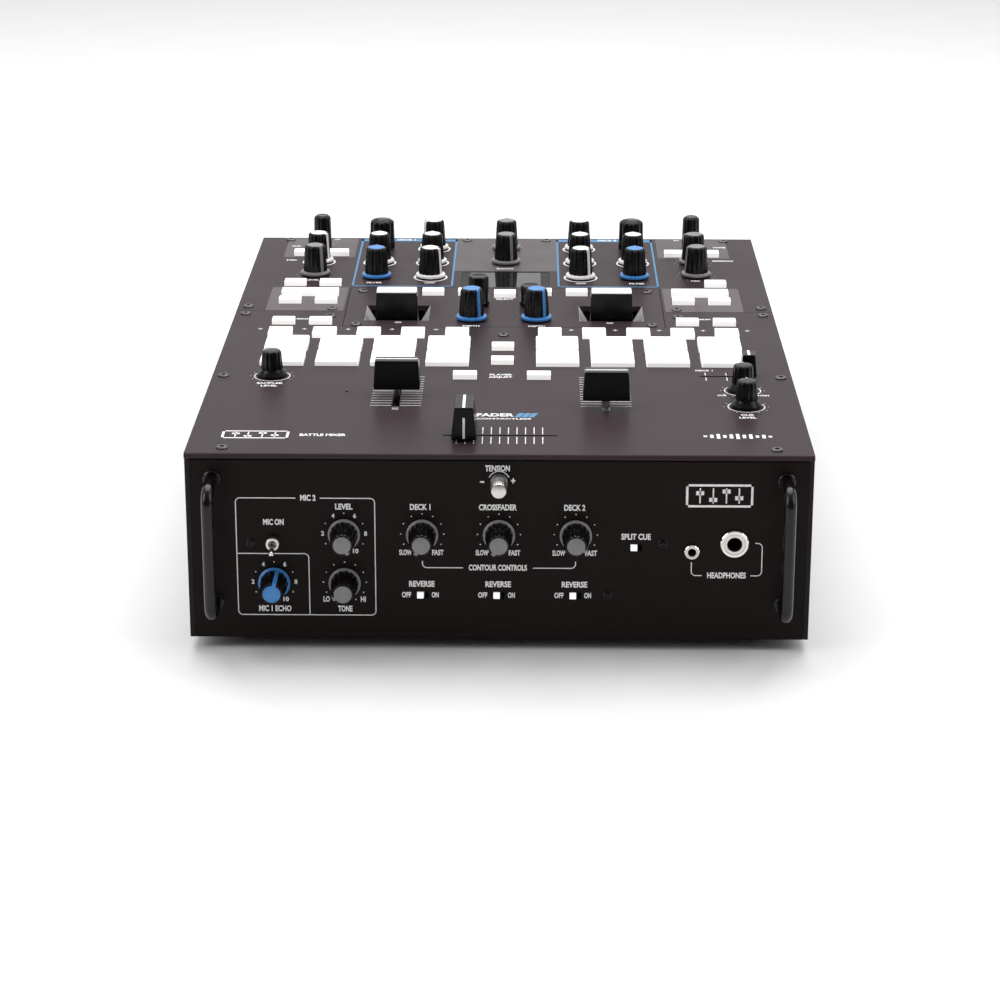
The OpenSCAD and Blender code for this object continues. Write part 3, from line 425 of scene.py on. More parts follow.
def settle(obj, smooth=30):
    """Ends a shape: faces outward, creases kept, object at the origin."""
    bpy.ops.object.mode_set(mode="EDIT")
    bpy.ops.mesh.select_all(action="SELECT")
    bpy.ops.mesh.remove_doubles(threshold=1e-6)
    bpy.ops.mesh.normals_make_consistent(inside=False)
    bpy.ops.object.mode_set(mode="OBJECT")
    bpy.ops.object.select_all(action="DESELECT")
    obj.select_set(True)
    bpy.context.view_layer.objects.active = obj
    bpy.ops.object.transform_apply(location=True, rotation=True, scale=True)
    bpy.ops.object.shade_smooth_by_angle(angle=math.radians(smooth))
    return obj


def apply_modifier(obj, kind, **settings):
    modifier = obj.modifiers.new(kind, kind)
    for name, value in settings.items():
        setattr(modifier, name, value)
    bpy.context.view_layer.objects.active = obj
    bpy.ops.object.modifier_apply(modifier=modifier.name)


def round_edges(obj, width, segments=2):
    apply_modifier(obj, "BEVEL", width=width, segments=segments, limit_method="ANGLE",
                   angle_limit=math.radians(40))


def turned(profile, sides=48):
    """A solid of revolution about Z from a list of radius and height, low to high, in millimetres."""
    radius, height = profile[0]
    obj = start(bpy.ops.mesh.primitive_circle_add, vertices=sides, radius=radius * MM, fill_type="NGON")
    bpy.ops.object.mode_set(mode="EDIT")
    bpy.ops.mesh.select_all(action="SELECT")
    bpy.ops.transform.translate(value=(0, 0, height * MM))
    for wide, high in profile[1:]:
        bpy.ops.mesh.extrude_region_move(TRANSFORM_OT_translate={"value": (0, 0, (high - height) * MM)})
        bpy.ops.transform.resize(value=(wide / radius, wide / radius, 1))
        radius, height = wide, high
    return settle(obj)


def block(low, high, bevel=0.0, segments=2, taper=(1, 1)):
    """A box between two corners in millimetres, its top drawn in by taper and its edges rounded."""
    low, high = Vector(low) * MM, Vector(high) * MM
    obj = start(bpy.ops.mesh.primitive_cube_add, size=1)
    bpy.ops.object.mode_set(mode="EDIT")
    bpy.ops.mesh.select_all(action="SELECT")
    bpy.ops.transform.resize(value=tuple(high - low))
    bpy.ops.transform.translate(value=tuple((low + high) / 2))
    if taper != (1, 1):
        choose(lambda face: face.normal.z > 0.9)
        bpy.ops.transform.resize(value=(*taper, 1))
    bpy.ops.object.mode_set(mode="OBJECT")
    if bevel:
        round_edges(obj, bevel * MM, segments)
    return settle(obj, 12)


def join(parts):
    """Joins objects into the first one."""
    bpy.ops.object.select_all(action="DESELECT")
    for part in parts:
        part.select_set(True)
    bpy.context.view_layer.objects.active = parts[0]
    if len(parts) > 1:
        bpy.ops.object.join()
    return bpy.context.object


def coat_with(obj, finish):
    """Gives an object one of the mixer's finishes."""
    obj.data.materials.clear()
    obj.data.materials.append(FINISH[finish])
    return obj


def carve(tool, *shapes):
    """Cuts a tool out of each shape and removes the tool."""
    for shape in shapes:
        apply_modifier(shape, "BOOLEAN", object=tool, operation="DIFFERENCE", solver="EXACT")
    discard(tool)


def rod(radius, depth, sides, centre=(0, 0, 0)):
    """A plain cylinder along Z to cut with, in millimetres."""
    return settle(start(bpy.ops.mesh.primitive_cylinder_add, vertices=sides, radius=radius * MM,
                        depth=depth * MM, location=Vector(centre) * MM))


def shift(x, y, z):
    """A move in millimetres."""
    return Matrix.Translation((x * MM, y * MM, z * MM))


def copy_of(obj, matrix):
    """A copy with its own mesh, placed by a matrix that goes into the mesh."""
    twin = obj.copy()
    twin.data = obj.data.copy()
    twin.data.transform(matrix)
    bpy.context.collection.objects.link(twin)
    return twin


def discard(*models):
    """Removes models that were only copied or cut with."""
    for model in models:
        bpy.data.objects.remove(model)


def piece(obj, name, body, *nodes):
    """Names a finished piece, hangs it on its body and lets it stand for CAD nodes."""
    obj.name = name
    obj.data.name = name
    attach(obj, body)
    if nodes:
        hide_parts(*nodes)
    return obj


# ---- printing ----

TO_FRONT = Matrix.Rotation(math.radians(90), 4, "X")
TO_REAR = Matrix.Rotation(math.radians(180), 4, "Z") @ TO_FRONT


def on_plate(x, y, z=0.0):
    """A place on the faceplates, in millimetres from the middle of the front lip."""
    return Matrix.Translation((x * MM, LIP_Y + y * MM, TOP_Z + z * MM))


def on_front(x, down, out=0.0):
    """A place on the front panel, in millimetres from the plate's top, drawn facing forward."""
    return Matrix.Translation((x * MM, PANEL_Y - out * MM, TOP_Z - down * MM)) @ TO_FRONT


def on_rear(x, z, out=0.0):
    """A place on the rear wall, x to the right as seen from the front, drawn facing backward."""
    return Matrix.Translation((x * MM, WALL_Y + out * MM, z * MM)) @ TO_REAR


def above(node):
    """The place on the faceplates that a node stands on."""
    centre = middle(node)
    return Matrix.Translation((centre.x, centre.y, TOP_Z))


def ahead_of(node):
    """The place on the front panel that a node stands on, facing forward."""
    centre = middle(node)
    return Matrix.Translation((centre.x, PANEL_Y, centre.z)) @ TO_FRONT


def ink_height():
    return bpy.context.scene.mixer_case.ink_height


def word(text, place, height, width):
    """A legend in raised ink, with its height and width in millimetres."""
    obj = start(bpy.ops.object.text_add)
    obj.data.body = text
    obj.data.size = height * MM / 0.7
    obj.data.align_x = "CENTER"
    obj.data.align_y = "CENTER"
    obj.data.extrude = ink_height() / 2
    obj.data.offset = 0.052 * height * MM
    obj.data.resolution_u = 3
    bpy.ops.object.convert(target="MESH")
    obj = bpy.context.object
    squeeze = width * MM / obj.dimensions.x
    lift = Matrix.Translation((0, 0, ink_height() / 2))
    obj.data.transform(place @ lift @ Matrix.Diagonal((squeeze, 1, 1, 1)))
    return coat_with(obj, "ink")


def stroke(place, x0, y0, x1, y1, finish="ink"):
    """A printed rectangle."""
    obj = start(bpy.ops.mesh.primitive_cube_add, size=1)
    size = Vector(((x1 - x0) * MM, (y1 - y0) * MM, ink_height()))
    centre = Vector(((x0 + x1) * MM / 2, (y0 + y1) * MM / 2, ink_height() / 2))
    obj.data.transform(place @ Matrix.Translation(centre) @ Matrix.Diagonal((*size, 1)))
    return coat_with(obj, finish)


def ring(place, inner, outer):
    """A printed circle line."""
    obj = start(bpy.ops.mesh.primitive_circle_add, vertices=48, radius=inner * MM)
    bpy.ops.object.mode_set(mode="EDIT")
    bpy.ops.mesh.select_all(action="SELECT")
    bpy.ops.mesh.extrude_edges_move()
    bpy.ops.transform.resize(value=(outer / inner, outer / inner, 1))
    bpy.ops.mesh.select_all(action="SELECT")
    bpy.ops.mesh.extrude_region_move(TRANSFORM_OT_translate={"value": (0, 0, ink_height())})
    settle(obj)
    obj.data.transform(place)
    return coat_with(obj, "ink")


def spoke(angle, radius):
    """A place at an angle in degrees and a radius in millimetres from the middle, not turned."""
    turn = math.radians(angle)
    return Matrix.Translation((radius * MM * math.cos(turn), radius * MM * math.sin(turn), 0))


def dial(place, radius):
    """The eleven marks round a knob, from stop to stop, 30 degrees apart."""
    for step in range(11):
        yield step, place @ spoke(240 - 30 * step, radius)


def dots(place, radius, finish="ink"):
    """Dots round a knob."""
    return [disc(at, 0.25, finish) for _, at in dial(place, radius)]


def disc(place, radius, finish="ink"):
    """A printed dot."""
    obj = start(bpy.ops.mesh.primitive_cylinder_add, vertices=10, radius=radius * MM, depth=ink_height())
    obj.data.transform(place @ Matrix.Translation((0, 0, ink_height() / 2)))
    return coat_with(obj, finish)


def arc(place, x, y, radius, width, first, last, steps=4, finish="ink"):
    """A printed arc round a point, in short straight strokes; radius is the outer one, angles in degrees."""
    made = []
    half = math.radians(last - first) / steps / 2
    reach = radius * math.tan(half)
    for i in range(steps):
        turn = Matrix.Rotation(math.radians(first) + half * (2 * i + 1), 4, "Z")
        at = place @ Matrix.Translation((x * MM, y * MM, 0)) @ turn
        made.append(stroke(at, radius - width, -reach, radius, reach, finish))
    return made


def frame_line(place, x0, y0, x1, y1, width, finish="ink", gaps=(), radius=0):
    """A printed outline with rounded corners; gaps are (from, to) stretches left out of its top line."""
    sides = [
        stroke(place, x0, y0 + radius, x0 + width, y1 - radius, finish),
        stroke(place, x1 - width, y0 + radius, x1, y1 - radius, finish),
        stroke(place, x0 + radius, y0, x1 - radius, y0 + width, finish),
    ]
    at = x0 + radius
    for gap in (*gaps, (x1 - radius, x1)):
        sides.append(stroke(place, at, y1 - width, gap[0], y1, finish))
        at = gap[1]
    if radius:
        for x, y, first in ((x1, y1, 0), (x0, y1, 90), (x0, y0, 180), (x1, y0, 270)):
            centre = (x - radius if x == x1 else x + radius, y - radius if y == y1 else y + radius)
            sides += arc(place, *centre, radius, width, first, first + 90, finish=finish)
    return sides


# ---- knobs ----

def flute(radius_low, radius_high, foot, head, flutes):
    """A tapered grip with rounded grooves, and none where the pointer runs."""
    steps = 6
    sides = flutes * steps
    taper = (radius_high - radius_low) / (head - foot)
    obj = turned([
        (radius_low, foot), (radius_low + taper * 0.5, foot + 0.5),
        (radius_high - taper * 1.2, head - 1.2), (radius_high - 0.1, head - 0.7),
        (radius_high - 0.4, head - 0.2), (radius_high - 0.9, head), (radius_high * 0.4, head),
    ], sides)
    bpy.ops.object.mode_set(mode="EDIT")
    for offset, depth in ((0, 0.92), (1, 0.945), (5, 0.945)):
        def in_groove(vertex, offset=offset):
            if math.hypot(vertex.co.x, vertex.co.y) < radius_high * 0.88 * MM:
                return False
            turn = math.degrees(math.atan2(vertex.co.x, vertex.co.y)) % 360
            step = round(turn * sides / 360 - steps / 2)
            return step % steps == offset and min(turn, 360 - turn) > 10
        choose(in_groove, "verts")
        bpy.ops.transform.resize(value=(depth, depth, 1), center_override=(0, 0, (foot + head) / 2 * MM))
    bpy.ops.object.mode_set(mode="OBJECT")
    return settle(obj, 40)


def pointer(colour, half, inner, low, high, foot, height):
    """A raised strip from a knob's top over its edge and down to its foot.

    It starts at the radius inner and follows the grip's radius from low, at its foot, to high."""
    down = block((-half, low - 0.8, foot), (half, low + 0.13, height - 0.5))
    bpy.ops.object.select_all(action="DESELECT")
    bpy.context.view_layer.objects.active = down
    bpy.ops.object.mode_set(mode="EDIT")
    choose(lambda vertex: vertex.co.z > (foot + height) / 2 * MM, "verts")
    bpy.ops.transform.translate(value=(0, (high - low) * MM, 0))
    bpy.ops.object.mode_set(mode="OBJECT")
    over = block((-half, inner, height - 0.8), (half, high + 0.1, height + 0.1), 0.35, 3)
    return [coat_with(settle(down), colour), coat_with(over, colour)]


def knurl(obj, low, high):
    """Presses straight grooves into a round side between two heights."""
    bpy.ops.object.mode_set(mode="EDIT")
    choose(lambda vertex: low * MM < vertex.co.z < high * MM
           and round(math.degrees(math.atan2(vertex.co.x, vertex.co.y)) / 7.5) % 2 == 0, "verts")
    bpy.ops.transform.resize(value=(0.93, 0.93, 1), center_override=(0, 0, 0))
    bpy.ops.object.mode_set(mode="OBJECT")
    return settle(obj)


def shaft():
    """The end of a control's shaft, which a knob sits on."""
    return coat_with(turned([(3, -2), (3, 1)], 24), "steel")


def tone_knob(colour):
    """A fluted black grip with a coloured collar, top and pointer."""
    sizes = bpy.context.scene.mixer_knobs
    height, wide = sizes.tone_height / MM, sizes.collar_radius / MM
    grip_low, grip_high = sizes.grip_radius / MM, sizes.grip_top_radius / MM
    foot, cap_radius = 2.3, 4.15
    grip = coat_with(flute(grip_low, grip_high, foot, height, sizes.flutes), "grip")
    base = coat_with(turned([(wide - 0.6, 0.5), (wide - 0.2, 0.6), (wide - 0.2, 1.1)], 64), "grip")
    collar = coat_with(turned([
        (wide - 0.15, 0.95), (wide, 1.1), (wide, 1.9), (wide - 0.25, 2.2),
        (grip_low, 2.55), (grip_low - 0.6, 2.6)], 64), colour)
    top = coat_with(turned([
        (cap_radius, height - 0.3), (cap_radius, height + 0.08),
        (cap_radius - 0.3, height + 0.2), (cap_radius * 0.5, height + 0.12),
        (0.3, height + 0.1)], 40), colour)
    line = pointer(colour, 0.85, cap_radius - 0.5, grip_low, grip_high, foot, height)
    return join([grip, base, collar, top, *line, shaft()])


def plain_knob(radius, height):
    """A slim black knob with fine flutes and a dished top."""
    radius_high, head = radius - 0.4, height - 0.5
    grip = coat_with(flute(radius, radius_high, 0.8, head, 12), "grip")
    line = pointer("gloss black", 0.6, radius * 0.6, radius, radius_high, 3, head)
    inner = radius * 0.72
    top = coat_with(turned([
        (inner, height - 0.9), (inner, height - 0.35), (inner - 0.4, height),
        (inner * 0.5, height - 0.15), (0.3, height - 0.1)], 40), "gloss black")
    return join([grip, top, *line, shaft()])


def selector_knob(radius, height):
    """A heavy black switch knob whose domed top has a finger hollow on its left."""
    grip = flute(radius, radius - 0.35, 0.8, height - 0.9, 10)
    dome = turned([
        (radius - 1.6, height - 1.2), (radius - 1.3, height - 0.9),
        (radius - 1.8, height - 0.4), (radius - 3.2, height), (0.5, height)], 40)
    coat_with(grip, "gloss black")
    scoop = start(bpy.ops.mesh.primitive_uv_sphere_add, segments=32, ring_count=16, radius=4.2 * MM,
                  location=Vector((-4.6, -2.4, height + 2.9)) * MM)
    carve(settle(scoop), grip, dome)
    return join([settle(grip, 35), coat_with(settle(dome, 35), "gloss black"), shaft()])


def encoder_knob(radius, height):
    """A smooth black knob with a dished top."""
    body = turned([
        (radius - 0.3, 0.6), (radius, 0.9), (radius, 2.4), (radius - 0.35, 3),
        (radius - 0.5, height - 1), (radius - 0.8, height - 0.3),
        (radius - 1.4, height), (radius - 1.9, height - 0.25), (0.4, height - 0.5)], 56)
    return join([coat_with(body, "gloss black"), shaft()])


def level_knob():
    """A small glossy knob with a flared skirt."""
    grip = coat_with(flute(5, 4.45, 3.4, 12.4, 12), "gloss black")
    line = pointer("white", 0.45, 2.4, 4.75, 4.45, 8, 12.3)
    skirt = coat_with(turned([
        (6.6, 0.6), (7, 0.8), (6.9, 1.3), (6.1, 2.2),
        (5.2, 3.2), (4.9, 3.8)], 56), "gloss black")
    return join([grip, skirt, *line, shaft()])


def front_knob(colour):
    """A front panel knob: fluted, with a coloured disc and pointer."""
    height = 15
    grip = coat_with(flute(6.1, 4.9, 2, height, 14), "grip")
    base = coat_with(turned([(6.5, 0.6), (6.9, 0.9), (6.9, 1.7), (6.2, 2.3)], 56), colour)
    top = coat_with(turned([
        (3.8, height - 0.3), (3.8, height + 0.05), (3.5, height + 0.15),
        (0.3, height + 0.1)], 36), colour)
    line = pointer(colour, 0.85, 3.2, 6.1, 4.9, 2, height)
    return join([grip, base, top, *line, shaft()])


def stand_knobs(model, nodes, place=above):
    """Places copies of a knob where the frame has them, turned to their rest position."""
    for node in nodes:
        turn = Matrix.Rotation(-math.radians(TURNS.get(node, 0)), 4, "Z")
        piece(copy_of(model, place(node) @ turn), node + "_piece", node, node)
    discard(model)


KNOBS = {
    "white": ["mic_level_knob", "deck1_gain_knob", "deck2_gain_knob"]
    + [f"deck{deck}_{band}_knob" for deck in (1, 2) for band in ("high", "mid", "low")],
    "blue": ["deck1_filter_knob", "deck2_filter_knob", "effect1_depth_knob", "effect2_depth_knob"],
    "grey": ["mic_effect_knob", "session_level_knob", "session_mix_knob", "main_level_knob",
             "booth_level_knob"],
}
CONTOUR_KNOBS = ["deck1_contour_knob", "cross_contour_knob", "deck2_contour_knob"]


class MIXER_OT_tone_knobs(bpy.types.Operator):
    """Adds the fluted knobs with coloured collars"""
    bl_idname = "mixer.tone_knobs"
    bl_label = "Tone knobs"

    def execute(self, context):
        for colour, nodes in KNOBS.items():
            stand_knobs(tone_knob(colour), nodes)
        return {"FINISHED"}


class MIXER_OT_plain_knobs(bpy.types.Operator):
    """Adds the slim, selector, encoder and level knobs"""
    bl_idname = "mixer.plain_knobs"
    bl_label = "Plain knobs"

    def execute(self, context):
        stand_knobs(plain_knob(4.8, 18.6), ["aux_level_knob", "session_tone_knob"])
        stand_knobs(selector_knob(6.8, 16.6), ["deck1_selector_knob", "deck2_selector_knob"])
        for node in ("effect1_encoder_knob", "effect2_encoder_knob"):
            stand_knobs(encoder_knob(5.5, (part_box(node)[1].z - TOP_Z) / MM), [node])
        stand_knobs(level_knob(), ["sampler_level_knob", "cue_mix_knob", "cue_level_knob"])
        return {"FINISHED"}


class MIXER_OT_front_knobs(bpy.types.Operator):
    """Adds the front panel knobs and the knurled tension knob"""
    bl_idname = "mixer.front_knobs"
    bl_label = "Front knobs"

    def execute(self, context):
        stand_knobs(front_knob("blue"), ["mic_echo_knob"], ahead_of)
        stand_knobs(front_knob("grey"), ["mic2_level_knob", "mic2_tone_knob", *CONTOUR_KNOBS], ahead_of)
        tension = turned([(2.9, 0.6), (2.9, 2.5), (3.5, 2.7), (3.5, 12), (3.1, 12.8), (2.7, 13)], 48)
        coat_with(knurl(tension, 2.6, 12.2), "nickel")
        stand_knobs(tension, ["tension_knob"], ahead_of)
        return {"FINISHED"}


# ---- fader caps and paddles ----

def fader_cap(wide, deep, low, high, top):
    """A tapered cap and the white line over its top; top is the top's width and depth."""
    body = block((-wide / 2, -deep / 2, low), (wide / 2, deep / 2, high), 0.7, 3,
                 (top[0] / wide, top[1] / deep))
    coat_with(body, "cap")
    half = 0.6
    line = block((-top[0] / 2 + 0.4, -half, high - 0.4), (top[0] / 2 - 0.4, half, high + 0.06), 0.05)
    coat_with(line, "ink")
    return body, line


class MIXER_OT_faders(bpy.types.Operator):
    """Adds the deck fader, crossfader and cue slider caps with their levers"""
    bl_idname = "mixer.faders"
    bl_label = "Fader caps"

    def lever(self, wide, deep, low):
        return coat_with(block((-wide / 2, -deep / 2, -4), (wide / 2, deep / 2, low + 1), 0.1), "steel")

    def execute(self, context):
        for node in ("deck1_fader_cap", "deck2_fader_cap"):
            body, line = fader_cap(21, 11, 4, 17, (19.5, 8))
            # the grey lip along the back edge of the cap's top is a painted highlight on that edge
            lip = block((-9.2, 2.4, 16.5), (9.2, 3.6, 17), 0.2)
            stem = block((-0.9, -1.7, -3), (0.9, 1.7, 5), 0.2)
            coat_with(lip, "grey")
            coat_with(stem, "dark")
            self.stand(node, [body, line, lip, stem, self.lever(2.4, 3.6, 4)])
        self.slot_ends()
        self.crossfader()
        self.cue_slider()
        return {"FINISHED"}

    def stand(self, node, parts):
        """Joins a cap's parts and sets them where its node is."""
        cap = join(parts)
        cap.data.transform(above(node))
        piece(cap, node + "_piece", node, node)

    def slot_ends(self):
        """The bright stops in front of the deck faders' slots."""
        ends = []
        for side in (-1, 1):
            end = block((-1.5, 62.9, -0.2), (1.5, 66.8, 0.25), 0.15)
            end.data.transform(on_plate(side * FADER_X, 0))
            ends.append(end)
        piece(coat_with(join(ends), "nickel"), "slot_ends", ROOT)

    def crossfader(self):
        body, line = fader_cap(21, 11, 1, 15.4, (19.5, 8))
        cap = join([body, line])
        cap.data.transform(Matrix.Rotation(math.radians(90), 4, "Z"))
        slope = math.atan2(0.75, 14.4)
        face = block((-0.5, -0.05, -4.6), (0.5, 0.06, 4.6), 0.04)
        face.data.transform(shift(0, -10.28, 6.4) @ Matrix.Rotation(-slope, 4, "X"))
        coat_with(face, "ink")
        self.stand("crossfader_cap", [cap, face, self.lever(3.6, 0.9, 1)])

    def cue_slider(self):
        body, line = fader_cap(10, 7.5, 1, 11.5, (8.4, 6))
        cap = join([body, line])
        cap.data.transform(Matrix.Rotation(math.radians(90), 4, "Z"))
        self.stand("cue_slider_cap", [cap, self.lever(3.6, 0.9, 1)])


class MIXER_OT_paddles(bpy.types.Operator):
    """Adds the two effect paddles with their light bars and pins"""
    bl_idname = "mixer.paddles"
    bl_label = "Effect paddles"

    def execute(self, context):
        for node in ("effect1_paddle", "effect2_paddle"):
            low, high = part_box(node)
            centre = (low + high) / 2
            height = (high.z - TOP_Z) / MM
            pivot = -7
            blade = block((-10.5, -6, -4), (10.5, 5.4, height - 0.7), 0.5, 3, (20 / 21, 10 / 11.4))
            rear = block((-9.7, 2, height - 1.2), (9.7, 4.4, height - 0.15), 0.3, 3)
            light = block((-9.8, -5.3, height - 1.2), (9.8, 2.6, height), 0.45, 3)
            hub = turned([(3.4, -10.2), (3.4, 10.2)], 32)
            neck = block((-10.2, -3.4, pivot), (10.2, 3.4, -3))
            pin = turned([(1.5, -15.4), (1.5, 15.4)], 24)
            for rod_across in (hub, pin):
                rod_across.data.transform(shift(0, 0, pivot) @ Matrix.Rotation(math.radians(90), 4, "Y"))
            for part, finish in ((blade, "cap"), (rear, "grey"), (light, "paddle light"), (hub, "cap"),
                                 (neck, "cap"), (pin, "steel")):
                coat_with(part, finish)
            paddle = join([blade, rear, light, hub, neck, pin])
            paddle.data.transform(Matrix.Translation((centre.x, low.y + 6 * MM, TOP_Z)))
            piece(paddle, node + "_piece", node, node)
        piece(join(self.liners()), "well_liners", ROOT)
        return {"FINISHED"}

    def liners(self):
        """A pale sheet on each sloping cheek of the paddles' wells: a painted highlight that makes the cheeks
        look lit.
        """
        made = []
        half_well, well_length = 15.9, 27.8
        drop, run = 7.6, 4.4
        slope = math.atan2(drop, run)
        length = math.hypot(drop, run)
        for node in ("effect1_paddle", "effect2_paddle"):
            low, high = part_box(node)
            front = low.y - 3.4 * MM
            for side in (-1, 1):
                sheet = block((0.1, 0.2, 0), (length, well_length, 0.15))
                sheet.data.transform(Matrix.Rotation(slope, 4, "Y"))
                if side > 0:
                    sheet.data.transform(Matrix.Diagonal((-1, 1, 1, 1)))
                edge = (low.x + high.x) / 2 + side * half_well * MM
                sheet.data.transform(Matrix.Translation((edge, front, TOP_Z)))
                made.append(coat_with(settle(sheet), "liner"))
        return made


# ---- pads and buttons ----

def islands(node):
    """The boxes of a CAD node's separate solids, from front to rear."""
    mesh = bpy.data.meshes.new_from_object(frame["nodes"][node])
    shape = bmesh.new()
    shape.from_mesh(mesh)
    bmesh.ops.remove_doubles(shape, verts=shape.verts, dist=1e-6)
    seen, boxes = set(), []
    for vertex in shape.verts:
        if vertex in seen:
            continue
        group, queue = [], [vertex]
        seen.add(vertex)
        while queue:
            here = queue.pop()
            group.append(here.co.copy())
            for edge in here.link_edges:
                other = edge.other_vert(here)
                if other not in seen:
                    seen.add(other)
                    queue.append(other)
        boxes.append((Vector(map(min, zip(*group))), Vector(map(max, zip(*group)))))
    shape.free()
    bpy.data.meshes.remove(mesh)
    return sorted(boxes, key=lambda pair: (round(pair[0].y, 4), round(pair[0].x, 4)))


class MIXER_OT_pads(bpy.types.Operator):
    """Adds the performance pads and the push buttons as soft-edged caps"""
    bl_idname = "mixer.pads"
    bl_label = "Pads and buttons"

    def caps(self, node, finish, bevel):
        made = []
        rim = Vector((1.1, 1.1, 0))
        for low, high in islands(node):
            low, high = low / MM + rim, high / MM - rim
            cap = block((low.x, low.y, TOP_Z / MM - 2), high, bevel, 3)
            made.append(coat_with(cap, finish))
        piece(join(made), node + "_piece", node, node)

    def execute(self, context):
        self.caps("performance_pads", "pad", 0.7)
        self.caps("push_buttons", "button", 0.35)
        return {"FINISHED"}


# ---- handles, feet and screws ----

def handle(x, top, reach, radius, drop):
    """A bar handle, in metres: out of the panel, down and back, with a washer round each leg."""
    bend = 6 * MM
    bar = start(bpy.ops.mesh.primitive_circle_add, vertices=24, radius=radius, fill_type="NGON",
                rotation=(math.radians(90), 0, 0))
    bpy.ops.object.transform_apply(rotation=True)
    bpy.ops.object.mode_set(mode="EDIT")
    bpy.ops.mesh.select_all(action="SELECT")
    straight = reach - radius - bend
    down = drop - 2 * bend
    bpy.ops.mesh.extrude_region_move(TRANSFORM_OT_translate={"value": (0, -straight, 0)})
    bpy.ops.mesh.spin(steps=8, angle=math.radians(-90), center=(0, -straight, -bend), axis=(1, 0, 0))
    bpy.ops.mesh.extrude_region_move(TRANSFORM_OT_translate={"value": (0, 0, -down)})
    bpy.ops.mesh.spin(steps=8, angle=math.radians(-90), center=(0, -straight, -bend - down), axis=(1, 0, 0))
    bpy.ops.mesh.extrude_region_move(TRANSFORM_OT_translate={"value": (0, straight, 0)})
    bpy.ops.object.mode_set(mode="OBJECT")
    settle(bar, 50)
    washers = []
    for level in (0, -drop):
        rim = radius / MM + 1.2
        washer = turned([(rim - 0.9, 0), (rim, 0), (rim, 0.6), (rim - 0.5, 1), (rim - 1.2, 1)], 32)
        washer.data.transform(Matrix.Translation((0, 0, level)) @ TO_FRONT)
        washers.append(washer)
    made = join([bar, *washers])
    made.data.transform(Matrix.Translation((x, PANEL_Y, top)))
    return coat_with(made, "handle")


def socket_screw():
    """A dark screw head with a hexagon socket."""
    head = turned([(2.5, 0), (2.6, 0.1), (2.6, 0.4), (2.2, 0.72), (1.3, 0.8)], 32)
    carve(rod(1.15, 2, 6, (0, 0, 1.25)), head)
    return coat_with(settle(head), "black steel")


def cross_screw():
    """A low panel screw with a cross recess."""
    head = turned([(2.3, 0), (2.3, 0.35), (1.9, 0.75), (1.1, 1)], 32)
    for size in ((1.4, 0.3), (0.3, 1.4)):
        carve(block((-size[0], -size[1], 0.45), (size[0], size[1], 2)), head)
    return coat_with(settle(head), "gloss black")


class MIXER_OT_hardware(bpy.types.Operator):
    """Adds the handles, the rubber feet and the screws"""
    bl_idname = "mixer.hardware"
    bl_label = "Handles, feet and screws"

    def execute(self, context):
        low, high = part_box("panel_handles")
        washer = 1.2 * MM
        radius = 2.6 * MM
        leg = Vector((high.x - radius - washer, high.z - radius - washer))
        drop = (high.z - low.z) - 2 * (radius + washer)
        bars = [handle(side * leg.x, leg.y, PANEL_Y - low.y, radius, drop) for side in (-1, 1)]
        piece(join(bars), "panel_handles_piece", ROOT, "panel_handles")
        self.feet()
        self.screws()
        return {"FINISHED"}

    def feet(self):
        low, high = islands("feet")[0]
        radius, height = (high.x - low.x) / 2 / MM, (high.z - low.z) / MM
        pad = turned([
            (3, 2), (3.6, 0.2), (4, 0), (radius - 1.6, 0),
            (radius - 0.8, 0.5), (radius - 0.4, 1.4), (radius, height - 0.2),
            (radius - 0.3, height)], 48)
        coat_with(pad, "rubber")
        screw = cross_screw()
        screw.data.transform(shift(0, 0, 2.6) @ Matrix.Rotation(math.pi, 4, "X"))
        pad = join([pad, screw])
        feet = [copy_of(pad, Matrix.Translation(((a.x + b.x) / 2, (a.y + b.y) / 2, 0)))
                for a, b in islands("feet")]
        discard(pad)
        piece(join(feet), "feet_piece", ROOT, "feet")

    def screws(self):
        heads = []
        top, front = socket_screw(), cross_screw()
        for number, (low, high) in enumerate(islands("panel_screws")):
            x, y, z = (low + high) / 2
            if high.z > TOP_Z:
                model, place, step = top, Matrix.Translation((x, y, TOP_Z)), 37
            else:
                model, place, step = front, Matrix.Translation((x, PANEL_Y, z)) @ TO_FRONT, 20
            heads.append(copy_of(model, place @ Matrix.Rotation(math.radians(step * number), 4, "Z")))
        discard(top, front)
        piece(join(heads), "panel_screws_piece", ROOT, "panel_screws")


# ---- front panel fittings ----

def nut(outer, inner, low, high):
    """A hexagon nut with a bevelled top, open through its middle."""
    body = turned([(outer, low), (outer, high - 0.25), (outer - 0.3, high)], 6)
    carve(rod(inner, 40, 40), body)
    return settle(body)


def tube(outer, inner, low, high, sides=48, lip=0.2):
    """A round tube with chamfered ends."""
    body = turned([(outer - lip, low), (outer, low + lip), (outer, high - lip), (outer - lip, high)], sides)
    carve(rod(inner, 4 * (high - low), sides, (0, 0, (low + high) / 2)), body)
    return settle(body)


